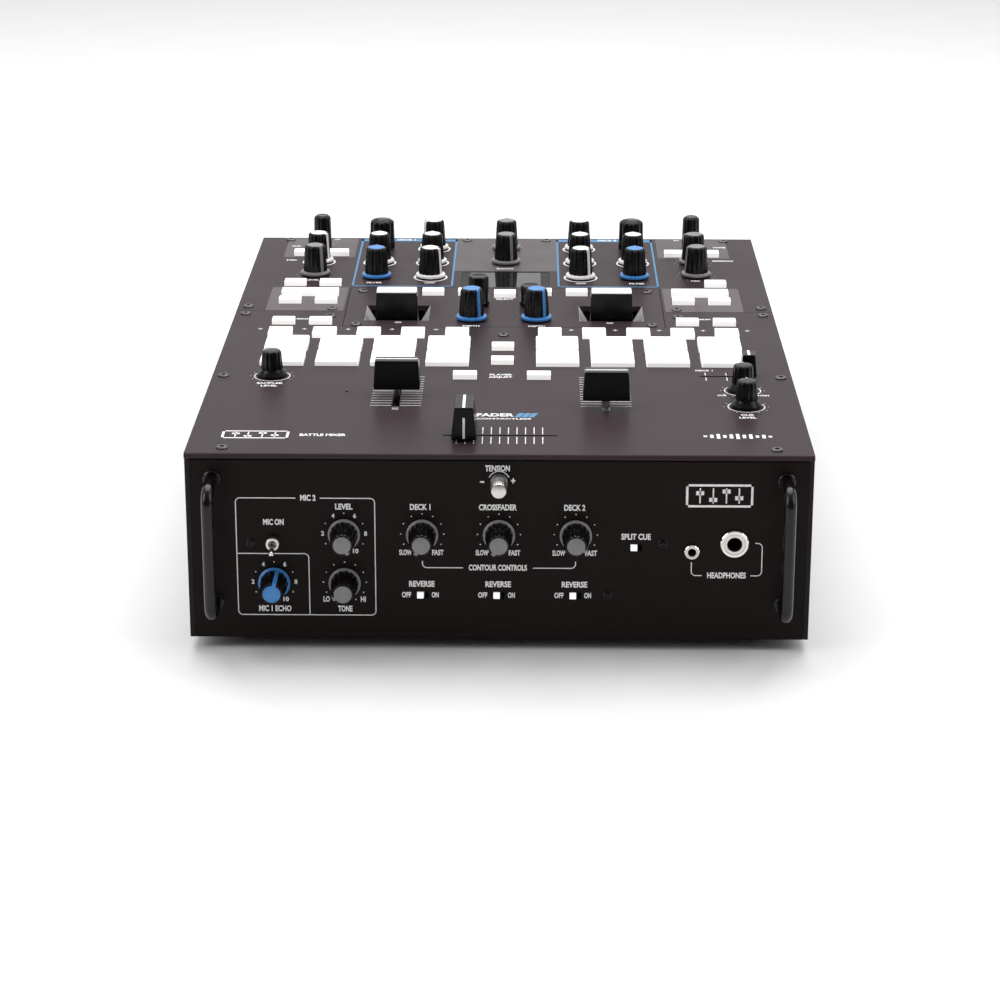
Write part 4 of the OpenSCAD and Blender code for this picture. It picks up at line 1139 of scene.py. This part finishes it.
class MIXER_OT_front_fittings(bpy.types.Operator):
    """Adds the headphone jacks, the microphone switch and the slide switches"""
    bl_idname = "mixer.front_fittings"
    bl_label = "Front fittings"

    def execute(self, context):
        self.jacks()
        self.toggle()
        self.slides()
        return {"FINISHED"}

    def jacks(self):
        made = []
        for low, high in islands("headphone_jacks"):
            centre = (low + high) / 2
            large = high.x - low.x > 10 * MM
            nose, hole, nut_radius, depth = (4.7, 3.25, 6.1, 24) if large else (2.5, 1.85, 3.3, 11)
            gap = 0.02
            jack = join([
                coat_with(tube(nose, hole, -3, 1.4, 40), "nickel"),
                coat_with(tube(nut_radius, nose + gap, 0, 1.4, 48, 0.35), "chrome"),
                coat_with(tube(nose - 0.4, hole - gap, -depth, -1.5, 32), "dark"),
                coat_with(block((-nose, -nose, -depth - 2), (nose, nose, -depth)), "dark"),
            ])
            jack.data.transform(Matrix.Translation((centre.x, PANEL_Y, centre.z)) @ TO_FRONT)
            made.append(jack)
        piece(join(made), "headphone_jacks_piece", ROOT, "headphone_jacks")

    def toggle(self):
        low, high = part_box("mic_toggle_lever")
        tilt = math.radians(14)
        lever = turned([
            (0.8, -1.5), (0.9, 0), (0.95, 3), (1.15, 6.4),
            (1.28, 7.6), (1.25, 8.2), (1, 8.8), (0.5, 9.08)], 32)
        ball = turned([(0.6, -1.8), (1.5, -1.1), (1.9, 0), (1.5, 1.1), (0.6, 1.8)], 32)
        lever = coat_with(join([lever, ball]), "chrome")
        pivot_z = TOP_Z - 40.3 * MM
        place = Matrix.Translation(((low.x + high.x) / 2, PANEL_Y - 1.5 * MM, pivot_z))
        lever.data.transform(place @ Matrix.Rotation(tilt, 4, "X") @ TO_FRONT)
        piece(lever, "mic_toggle_piece", "mic_toggle_lever", "mic_toggle_lever")
        collar = coat_with(tube(2.85, 1.8, 0, 3.6, 40), "nickel")
        collar.data.transform(Matrix.Translation(((low.x + high.x) / 2, PANEL_Y, pivot_z)) @ TO_FRONT)
        piece(collar, "mic_toggle_collar", ROOT)

    def slides(self):
        made = []
        for low, high in islands("slide_switches"):
            tab = block(low / MM, high / MM, 0.15)
            # the tabs take the glowing button finish, so they glow with no lamp behind them: painted light
            made.append(coat_with(tab, "button"))
        piece(join(made), "slide_switches_piece", "slide_switches", "slide_switches")


# ---- rear connectors ----

def plate_with_hole(width, height, thick, radius):
    """A connector's flange: a plate with softened edges and a round hole."""
    flange = block((-width / 2, -height / 2, 0), (width / 2, height / 2, thick), 0.4)
    carve(rod(radius, 20, 48), flange)
    return settle(flange)


def phono_pair():
    """Two phono sockets, the white one over the red one."""
    parts = []
    pitch = 14
    for up, colour in ((1, "white"), (-1, "red")):
        sleeve = coat_with(tube(4.15, 3.35, 0, 8.4, 40), "gold")
        insulator = coat_with(tube(3.35, 1.7, 0, 7.6, 40, 0.05), colour)
        collar = coat_with(tube(5.6, 4.15, 0, 0.9, 40), colour)
        group = join([sleeve, insulator, collar])
        group.data.transform(shift(0, up * pitch / 2, 0))
        parts.append(group)
    return join(parts)


def balanced_outlet():
    """A male three-pin outlet with its flange and two screws."""
    flange = coat_with(plate_with_hole(26, 31, 1.5, 10.2), "nickel")
    shell = coat_with(tube(10.9, 9.3, -15, 1.9, 56), "nickel")
    floor = coat_with(block((-9, -9, -16), (9, 9, -14)), "dark")
    parts = [flange, shell, floor]
    for angle in (90, 210, 330):
        pin = turned([(1.2, -14), (1.2, -2.6), (0.7, -2)], 20)
        pin.data.transform(Matrix.Rotation(math.radians(angle), 4, "Z") @ spoke(0, 4.75))
        parts.append(coat_with(pin, "gold"))
    return join([*parts, *flange_screws(10, 12.4)])


def combo_socket():
    """A combined microphone and quarter-inch inlet."""
    flange = coat_with(plate_with_hole(27, 30, 1.5, 11), "socket")
    shell = coat_with(tube(11.8, 10, -15, 1.9, 56), "nickel")
    core = tube(9.4, 3.25, -15, 0.8, 56, 0.4)
    for angle in (90, 210, 330):
        hole = rod(1.5, 20, 20)
        hole.data.transform(Matrix.Rotation(math.radians(angle), 4, "Z") @ spoke(0, 6.2))
        carve(hole, core)
    coat_with(settle(core), "socket")
    release = coat_with(block((-3, 11.6, 1), (3, 13.6, 2.6), 0.3), "red")
    return join([flange, shell, core, release, *flange_screws(10.6, 12)])


def flange_screws(across, up):
    """Two screws at opposite corners of a flange."""
    screws = []
    for side in (-1, 1):
        screw = cross_screw()
        screw.data.transform(shift(side * across, side * up, 1.5) @ Matrix.Scale(0.75, 4))
        screws.append(screw)
    return screws


def booth_jack():
    """A quarter-inch jack with its hexagon nut."""
    return join([
        coat_with(tube(5.4, 3.25, -3, 2.5, 40), "nickel"),
        coat_with(nut(7.2, 5.35, 0, 1.6), "nickel"),
        coat_with(tube(5, 3.2, -24, -2, 32), "dark"),
        coat_with(block((-5, -5, -25), (5, 5, -24)), "dark"),
    ])


def usb_socket():
    """A square data socket with its tongue."""
    shell = block((-6, -5.5, -12), (6, 5.5, 0.5), 0.3)
    hole = block((-4.3, -4, -11), (4.3, 4, 4))
    carve(hole, shell)
    tongue = block((-2.8, -1.6, -11.5), (2.8, 1.6, -2), 0.3)
    return join([coat_with(settle(shell), "nickel"), coat_with(tongue, "white")])


def mains_inlet():
    """A mains inlet with a chamfered face and three blades."""
    face = block((-15, -11.5, 0), (15, 11.5, 1.5), 0.5)
    body = block((-13.8, -10.3, -17), (13.8, 10.3, 0.4))
    hole = block((-12.3, -8.5, -15), (12.3, 8.5, 4), 2.4, 3)
    carve(hole, face, body)
    parts = [coat_with(settle(face), "socket"), coat_with(settle(body), "socket")]
    for x, y in ((-7, 1.5), (7, 1.5), (0, -4.5)):
        blade = block((x - 1, y - 2, -15), (x + 1, y + 2, -3), 0.4)
        parts.append(coat_with(blade, "nickel"))
    return join(parts)


def rocker_frame():
    """The housing that the power rocker tips in."""
    face = block((-11, -9, 0), (11, 9, 1.5), 0.4)
    body = block((-9.8, -7.8, -14), (9.8, 7.8, 0.4))
    hole = block((-7.5, -6.2, -9), (7.5, 6.2, 4))
    carve(hole, face, body)
    return join([coat_with(settle(face), "socket"), coat_with(settle(body), "socket")])


def ground_post():
    """A threaded ground post with a knurled nut."""
    post = tube(2, 0.4, 0, 9, 24)
    knob = turned([(4, 3), (4.5, 3.3), (4.5, 7.6), (4, 8), (2.1, 8)], 48)
    return join([coat_with(post, "nickel"), coat_with(knurl(knob, 3.1, 7.8), "nickel")])


# rear connectors, known by the width and height of their CAD solids in millimetres
CONNECTORS = {
    (30, 23): mains_inlet,
    (22, 18): rocker_frame,
    (12, 11): usb_socket,
    (26, 31): balanced_outlet,
    (27, 30): combo_socket,
    (15, 15): booth_jack,
    (12, 26): phono_pair,
    (9, 9): ground_post,
}


class MIXER_OT_rear_sockets(bpy.types.Operator):
    """Adds the connectors of the rear wall and the power rocker"""
    bl_idname = "mixer.rear_sockets"
    bl_label = "Rear sockets"

    def execute(self, context):
        models, made = {}, []
        for low, high in islands("rear_sockets"):
            size = high - low
            kind = (round(size.x / MM), round(size.z / MM))
            if kind not in models:
                models[kind] = CONNECTORS[kind]()
            centre = (low + high) / 2
            place = Matrix.Translation((centre.x, WALL_Y, centre.z)) @ TO_REAR
            made.append(copy_of(models[kind], place))
        discard(*models.values())
        piece(join(made), "rear_sockets_piece", ROOT, "rear_sockets")
        self.rocker()
        return {"FINISHED"}

    def rocker(self):
        low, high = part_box("power_rocker")
        centre = (low + high) / 2
        cap = block((-7, -4.3, -4), (7, 4.3, 3), 0.5, 3)
        coat_with(cap, "gloss black")
        bpy.ops.object.select_all(action="DESELECT")
        bpy.context.view_layer.objects.active = cap
        bpy.ops.object.mode_set(mode="EDIT")
        choose(lambda vertex: vertex.co.z > MM, "verts")
        bpy.ops.transform.resize(value=(1, 1, 0.55), center_override=(0, 0, 0.6 * MM))
        bpy.ops.object.mode_set(mode="OBJECT")
        tilt = math.radians(9)
        for text, side, width in (("I", 1, 0.5), ("O", -1, 1.8)):
            cap = join([cap, word(text, shift(0, side * 2.2, 1.92), 2, width)])
        cap.data.transform(Matrix.Translation((centre.x, WALL_Y, centre.z)) @ TO_REAR
                           @ Matrix.Rotation(tilt, 4, "X"))
        piece(cap, "power_rocker_piece", "power_rocker", "power_rocker")


# ---- printed legends ----

# words on the faceplates: text, x, y, height, width
PLATE_WORDS = [
    ("MIC", -114, 327.5, 2.3, 5.5), ("SESSION", 115, 329, 2.3, 11), ("AUX", -114, 358, 2.3, 5),
    ("TONE", 115, 358, 2.3, 7), ("LEVEL", -100, 286.6, 2.2, 7), ("MIX", 98.4, 287.4, 2.2, 4.6),
    ("BOOTH", -0.5, 311, 2.3, 8.5), ("MAIN", 0, 340.5, 2.3, 7), ("SELECT", 0, 250.2, 2.2, 9),
    ("PARAM", -99, 211.5, 2, 6.4), ("PARAM", 98.6, 213.4, 2, 6.4),
    ("SAMPLER", -106, 102.4, 2.3, 12), ("LEVEL", -106, 98.4, 2.3, 7.6),
    ("CUE", 108.8, 57.4, 2.3, 5.6), ("LEVEL", 108.8, 53.4, 2.3, 7.6),
    ("CUE", 99.4, 86.5, 1.9, 4), ("MAIN", 118.2, 86.5, 1.9, 5),
    ("DECK 1", 93.8, 125.4, 1.9, 8), ("DECK 2", 113, 125.4, 1.9, 8),
    ("PLAYER", -0.6, 117.3, 2.3, 10.5), ("ADJUST", -0.6, 113.6, 2.3, 11),
]
# words in both deck frames: text, x on the right side, y, width
EQ_WORDS = [
    ("FILTER", 67.8, 281.6, 8), ("LOW", 39, 281.6, 5.4), ("GAIN", 67, 311.5, 6.4),
    ("MID", 39, 311.5, 5), ("HIGH", 39, 341.5, 6), ("INPUT", 67, 341.5, 7),
]
# words on the front panel: text, x, distance below the plate's top, height, width
FRONT_WORDS = [
    ("TENSION", -0.6, 6.7, 2.5, 10.5), ("MIC 2", -81.4, 20.3, 2.5, 6.6), ("LEVEL", -66.2, 24.2, 2.5, 7.4),
    ("MIC ON", -96.3, 31.3, 2.5, 8.8), ("TONE", -66.2, 70.8, 2.5, 6.2), ("MIC 1 ECHO", -96.5, 70.8, 2.5, 14),
    ("LO", -74.2, 66.4, 2.4, 2.8), ("HI", -58.4, 66.4, 2.4, 2.2), ("CROSSFADER", -0.6, 24.2, 2.5, 16.2),
    ("DECK 1", -33.4, 24.2, 2.5, 8.8), ("DECK 2", 32.2, 24.2, 2.5, 9),
    ("CONTOUR CONTROLS", -0.5, 51.6, 2.5, 25),
    ("SPLIT CUE", 58.5, 37.2, 2.5, 12.6), ("HEADPHONES", 97.5, 54.6, 2.5, 16.6),
]
# words on the rear wall: text, x, height above the table, height, width
REAR_WORDS = [
    ("MAINS", -106, 79, 2.4, 9), ("POWER", -106, 44.5, 2.4, 10),
    ("USB 1", -76, 79, 2.4, 8), ("USB 2", -76, 40.5, 2.4, 8),
    ("R", -48, 82.5, 2.6, 2.2), ("MAIN OUT", -34, 82.5, 2.4, 14), ("L", -20, 82.5, 2.6, 2),
    ("R", -48, 42.5, 2.6, 2.2), ("BOOTH OUT", -38, 46.5, 2.4, 15), ("L", -28, 42.5, 2.6, 2),
    ("MAIN", -6, 48.5, 2.4, 8),
    ("PHONO 1", 8, 81, 2.4, 12), ("PHONO 2", 36, 81, 2.4, 12), ("LINE 1", 64, 81, 2.4, 10),
    ("LINE 2", 36, 49, 2.4, 10), ("SESSION", 64, 49, 2.4, 12), ("GND", 84, 28, 2.4, 6),
    ("MIC 1", 104, 82, 2.4, 8), ("MIC 2", 104, 50, 2.4, 8),
]


def fader_signs(place, signs, low, high):
    """A row of small fader signs between two heights; signs are pairs of x and the cap's height."""
    made = []
    for x, cap in signs:
        made.append(stroke(place, x - 0.3, low, x + 0.3, high))
        made.append(stroke(place, x - 1.7, cap - 0.9, x + 1.7, cap + 0.9))
    return made


class MIXER_OT_plate_legends(bpy.types.Operator):
    """Prints the outlines, scales and words on the faceplates"""
    bl_idname = "mixer.plate_legends"
    bl_label = "Faceplate legends"

    def execute(self, context):
        white, blue = self.words(), self.deck_frames()
        white += self.rings() + self.fader_scales() + self.marks()
        emblem_white, emblem_blue = self.emblems()
        piece(join(white + emblem_white + self.window_strips()), "plate_legends", ROOT)
        piece(join(blue + emblem_blue), "deck_frames", ROOT)
        return {"FINISHED"}

    def words(self):
        made = [word(text, on_plate(x, y), height, width) for text, x, y, height, width in PLATE_WORDS]
        for side in (-1, 1):
            made += [word(text, on_plate(side * x, y), 2.2, width) for text, x, y, width in EQ_WORDS]
            made += [
                word("DECK " + ("1" if side < 0 else "2"), on_plate(side * 54.6, 372.6, 0.06), 2.8, 10),
                word("DEPTH", on_plate(side * 16, 199.9), 2.2, 8.2),
                word("ON", on_plate(side * 52, 206), 2, 3.2),
                word("FX", on_plate(side * 92.5, 373.4), 1.8, 3),
            ]
        return made

    def deck_frames(self):
        made = []
        for side in (-1, 1):
            low, high = sorted((side * 27, side * 79))
            made += frame_line(on_plate(0, 0), low, 274.6, high, 374.9, 0.95, "deck ink")
            made.append(stroke(on_plate(0, 0), low, 369.6, high, 375.6, "deck ink"))
        return made

    def rings(self):
        made = []
        for node in KNOBS["white"]:
            made.append(ring(above(node), 7.8, 8.8))
        for node in ("sampler_level_knob", "cue_mix_knob", "cue_level_knob"):
            made.append(ring(above(node), 7.9, 8.4))
            made += dots(above(node), 9.9)
        for node in KNOBS["grey"] + KNOBS["blue"] + ["aux_level_knob", "session_tone_knob"]:
            ink = "orange ink" if node in KNOBS["blue"] else "ink"
            made += dots(above(node), 9.6, ink)
        return made

    def fader_scales(self):
        made = []
        pitch = 3.7
        for side in (-1, 1):
            for i in range(13):
                y = 69.1 + i * pitch
                for from_x, to_x in ((-11.4, -2), (2, 11.4)):
                    made.append(stroke(on_plate(side * FADER_X, y), from_x, -0.2, to_x, 0.2))
        for i in range(11):
            x = (i - 5) * pitch
            for from_y, to_y in ((15, 24.6), (28.4, 38)):
                made.append(stroke(on_plate(x, 0), -0.2, from_y, 0.2, to_y))
        for i in range(3):
            for from_y, to_y in ((109.5, 114.6), (117.8, 122)):
                made.append(stroke(on_plate(93.8 + 9.6 * i, 0), -0.2, from_y, 0.2, to_y))
        return made

    def marks(self):
        made = []
        for side in (-1, 1):
            for i in range(5):
                place = on_plate(side * (32.9 + 21.4 * i), 193.4)
                made += [stroke(place, -1.2, -0.25, 1.2, 0.25), stroke(place, -0.25, -1.2, 0.25, 1.2)]
        return made

    def emblems(self):
        plate = on_plate(0, 0)
        white = frame_line(plate, -120, 21, -91, 31.6, 1.1)
        white += fader_signs(plate, ((-114, 27.6), (-108.6, 24.2), (-102.4, 28.4), (-97, 25.4)), 23, 29.8)
        white.append(word("BATTLE MIXER", on_plate(-76.5, 26), 3, 20))
        for i, tall in enumerate((2, 4.4, 6.4, 3.6, 5.6, 7, 4.6, 6, 3, 4.8, 2.2)):
            white.append(stroke(on_plate(88.6 + 2.8 * i, 26.6), -0.75, -tall / 2, 0.75, tall / 2))
        white.append(word("CONTACTLESS", on_plate(1.5, 50.2), 1.7, 24))
        white.append(word("FADER", on_plate(-2.6, 55.6), 4.2, 16.5))
        slant = Matrix(((1, 0.35, 0, 0), (0, 1, 0, 0), (0, 0, 1, 0), (0, 0, 0, 1)))
        blue = [stroke(on_plate(8.4 + 3 * i, 55.6) @ slant, -1.3, -3, 1.3, 3, "deck ink") for i in range(3)]
        return white, blue

    def window_strips(self):
        """The dark strips inside the display window's left and right edges."""
        y = (middle("display_window").y - LIP_Y) / MM
        return [stroke(on_plate(side * 20.4, y, -0.2), -2.2, -15, 2.2, 15, "dark") for side in (-1, 1)]


class MIXER_OT_front_legends(bpy.types.Operator):
    """Prints the outlines, dials and words on the front panel"""
    bl_idname = "mixer.front_legends"
    bl_label = "Front panel legends"

    def execute(self, context):
        made = [word(text, on_front(x, down), height, width) for text, x, down, height, width in FRONT_WORDS]
        made += self.dials() + self.brackets() + self.switch_words() + self.emblem()
        piece(join(made), "front_legends", ROOT)
        return {"FINISHED"}

    def dials(self):
        made = []
        for node in (*CONTOUR_KNOBS, "mic2_tone_knob", "mic2_level_knob", "mic_echo_knob"):
            numbered = node in ("mic2_level_knob", "mic_echo_knob")
            for step, at in dial(ahead_of(node), 9.2):
                if numbered and step % 2 == 0 and step > 0:
                    made.append(word(str(step), at, 1.9, 1.3 if step < 10 else 2.4))
                else:
                    made.append(disc(at, 0.28))
        return made

    def brackets(self):
        panel = on_front(0, 0)
        line = 0.4
        curve = 2.2
        made = frame_line(panel, -112.5, -73.8, -52.8, -20.1, line, gaps=((-86.7, -76.3),), radius=curve)
        for x0, y0, x1, y1 in (
            (-112.5, -45.7, -81.3 - curve, -45.3), (-81.7, -73.8, -81.3, -45.3 - curve),
            (-33 + curve, -51.8, -15.4, -51.4), (14.6, -51.8, 33 - curve, -51.4),
            (-33, -51.8 + curve, -32.6, -48.6), (32.6, -51.8 + curve, 33, -48.6),
            (82.2 + curve, -54.8, 87, -54.4), (82.2, -54.8 + curve, 82.6, -48.6),
            (107.8, -54.8, 112.7 - curve, -54.4), (112.3, -54.8 + curve, 112.7, -39.6 - curve),
            (109.4, -40, 112.7 - curve, -39.6),
        ):
            made.append(stroke(panel, x0, y0, x1, y1))
        for x, y, first in ((-81.3, -45.3, 0), (-33, -51.8, 180), (33, -51.8, 270), (82.2, -54.8, 180),
                            (112.7, -54.8, 270), (112.7, -39.6, 0)):
            across = -curve if first in (0, 270) else curve
            up = -curve if first == 0 else curve
            made += arc(panel, x + across, y + up, curve, line, first, first + 90)
        made += [word("-", on_front(-7.2, 12.3), 3, 1.8), word("+", on_front(6, 12.3), 3, 1.8)]
        return made + arc(panel, 0, -12.5, 4.8, line, 25, 155, 12)

    def switch_words(self):
        made = []
        for node in CONTOUR_KNOBS:
            x = middle(node).x / MM
            made += [
                word("SLOW", on_front(x - 7.3, 44.8), 2.3, 5.4),
                word("FAST", on_front(x + 6.6, 44.8), 2.3, 5),
                word("REVERSE", on_front(x - 0.4, 59.2), 2.5, 11),
                word("OFF", on_front(x - 7, 64.2), 2.3, 4), word("ON", on_front(x + 5.4, 64.2), 2.3, 3),
            ]
        return made

    def emblem(self):
        panel = on_front(0, 0)
        signs = fader_signs(panel, ((85.4, -17.2), (91, -20.2), (96.6, -16.4), (102, -19.4)), -21.8, -15)
        return frame_line(panel, 79.4, -23.6, 108, -13.2, 1) + signs


class MIXER_OT_rear_legends(bpy.types.Operator):
    """Prints the words on the rear wall"""
    bl_idname = "mixer.rear_legends"
    bl_label = "Rear legends"

    def execute(self, context):
        made = [word(text, on_rear(x, z), height, width) for text, x, z, height, width in REAR_WORDS]
        piece(join(made), "rear_legends", ROOT)
        return {"FINISHED"}


# ---- finishes for the CAD nodes ----

NODE_FINISH = {
    "chassis": "paint", "front_panel": "front", "upper_faceplate": "plate", "lower_faceplate": "plate",
    "effects_plate": "plate", "display_window": "window", "circuit_boards": "board", "power_supply": "supply",
    "potentiometers": "steel", "fader_bodies": "dark",
}


class MIXER_OT_finishes(bpy.types.Operator):
    """Makes the materials and coats the case with them"""
    bl_idname = "mixer.finishes"
    bl_label = "Finishes"

    def execute(self, context):
        FINISH.update(make_finishes())
        for node, finish in NODE_FINISH.items():
            coat_with(frame["nodes"][node], finish)
        return {"FINISHED"}


# ---- stage ----

class MIXER_OT_stage(bpy.types.Operator):
    """Adds the pale floor, the studio lights and the camera"""
    bl_idname = "mixer.stage"
    bl_label = "Stage"

    def execute(self, context):
        self.floor()
        self.sky()
        self.lamp("overhead softbox", (0, 0.5, 1.5), (0, 0.0, 0), (1.8, 1.4), 26)
        self.lamp("left softbox", (-1.4, -0.6, 0.9), (0, 0, 0.05), (0.9, 1.2), 10)
        self.lamp("right softbox", (1.4, -0.5, 0.9), (0, 0, 0.05), (0.9, 1.2), 8)
        self.camera(context)
        context.scene.view_settings.view_transform = "Standard"
        return {"FINISHED"}

    def floor(self):
        floor = start(bpy.ops.mesh.primitive_plane_add, size=8)
        floor.name = "studio_floor"
        coat_with(floor, "floor")

    def sky(self):
        world = bpy.data.worlds.new("studio")
        bpy.context.scene.world = world
        world.use_nodes = True
        nodes, links = world.node_tree.nodes, world.node_tree.links
        shade = nodes["Background"]
        place = nodes.new("ShaderNodeTexCoord")
        split = nodes.new("ShaderNodeSeparateXYZ")
        links.new(place.outputs["Generated"], split.inputs["Vector"])
        spread = nodes.new("ShaderNodeMapRange")
        spread.inputs["From Min"].default_value = -0.9
        spread.inputs["From Max"].default_value = 0.9
        spread.inputs["To Min"].default_value = 0.06
        spread.inputs["To Max"].default_value = 1.0
        links.new(split.outputs["Y"], spread.inputs["Value"])
        rays = nodes.new("ShaderNodeLightPath")
        pale = nodes.new("ShaderNodeMix")
        links.new(rays.outputs["Is Camera Ray"], pale.inputs[0])
        links.new(spread.outputs["Result"], pale.inputs[2])
        pale.inputs[3].default_value = 0.92
        links.new(pale.outputs[0], shade.inputs["Color"])

    def lamp(self, name, place, aim, size, energy):
        bpy.ops.object.light_add(type="AREA", location=place)
        lamp = bpy.context.object
        lamp.name = name
        lamp.data.shape = "RECTANGLE"
        lamp.data.size, lamp.data.size_y = size
        lamp.data.energy = energy
        lamp.rotation_euler = (Vector(aim) - Vector(place)).to_track_quat("-Z", "Y").to_euler()

    def camera(self, context):
        settings = context.scene.mixer_studio
        camera = bpy.data.objects.new("camera", bpy.data.cameras.new("camera"))
        context.collection.objects.link(camera)
        camera.data.lens = settings.lens
        camera.data.sensor_width = 36
        camera.matrix_world = (
            Matrix.Translation(Vector((0, LIP_Y, TOP_Z)) + Vector(settings.camera_place))
            @ Matrix.Rotation(settings.camera_pan, 4, "Z")
            @ Matrix.Rotation(math.pi / 2 - settings.camera_tilt, 4, "X")
            @ Matrix.Rotation(settings.camera_roll, 4, "Z")
        )
        context.scene.camera = camera


# ---- add-on ----

STEPS = (
    MIXER_OT_finishes, MIXER_OT_tone_knobs, MIXER_OT_plain_knobs, MIXER_OT_front_knobs, MIXER_OT_faders,
    MIXER_OT_paddles, MIXER_OT_pads, MIXER_OT_hardware, MIXER_OT_front_fittings, MIXER_OT_rear_sockets,
    MIXER_OT_plate_legends, MIXER_OT_front_legends, MIXER_OT_rear_legends, MIXER_OT_stage,
)


class MIXER_PT_sidebar(bpy.types.Panel):
    """Lists the mixer's building steps"""
    bl_idname = "MIXER_PT_sidebar"
    bl_label = "Battle Mixer"
    bl_space_type = "VIEW_3D"
    bl_region_type = "UI"
    bl_category = "Mixer"

    def draw(self, context):
        for step in STEPS:
            self.layout.operator(step.bl_idname)
        for name in ("mixer_knobs", "mixer_case", "mixer_studio"):
            settings = getattr(context.scene, name)
            for field in settings.bl_rna.properties:
                if field.identifier not in ("name", "rna_type"):
                    self.layout.prop(settings, field.identifier)


CLASSES = (KnobSettings, CaseSettings, StudioSettings, *STEPS, MIXER_PT_sidebar)


def register():
    for cls in CLASSES:
        bpy.utils.register_class(cls)
    bpy.types.Scene.mixer_knobs = bpy.props.PointerProperty(type=KnobSettings)
    bpy.types.Scene.mixer_case = bpy.props.PointerProperty(type=CaseSettings)
    bpy.types.Scene.mixer_studio = bpy.props.PointerProperty(type=StudioSettings)


def unregister():
    del bpy.types.Scene.mixer_knobs, bpy.types.Scene.mixer_case, bpy.types.Scene.mixer_studio
    for cls in reversed(CLASSES):
        bpy.utils.unregister_class(cls)


def main():
    register()
    for step in STEPS:
        group, name = step.bl_idname.split(".")
        getattr(getattr(bpy.ops, group), name)()


if __name__ == "__main__":
    main()
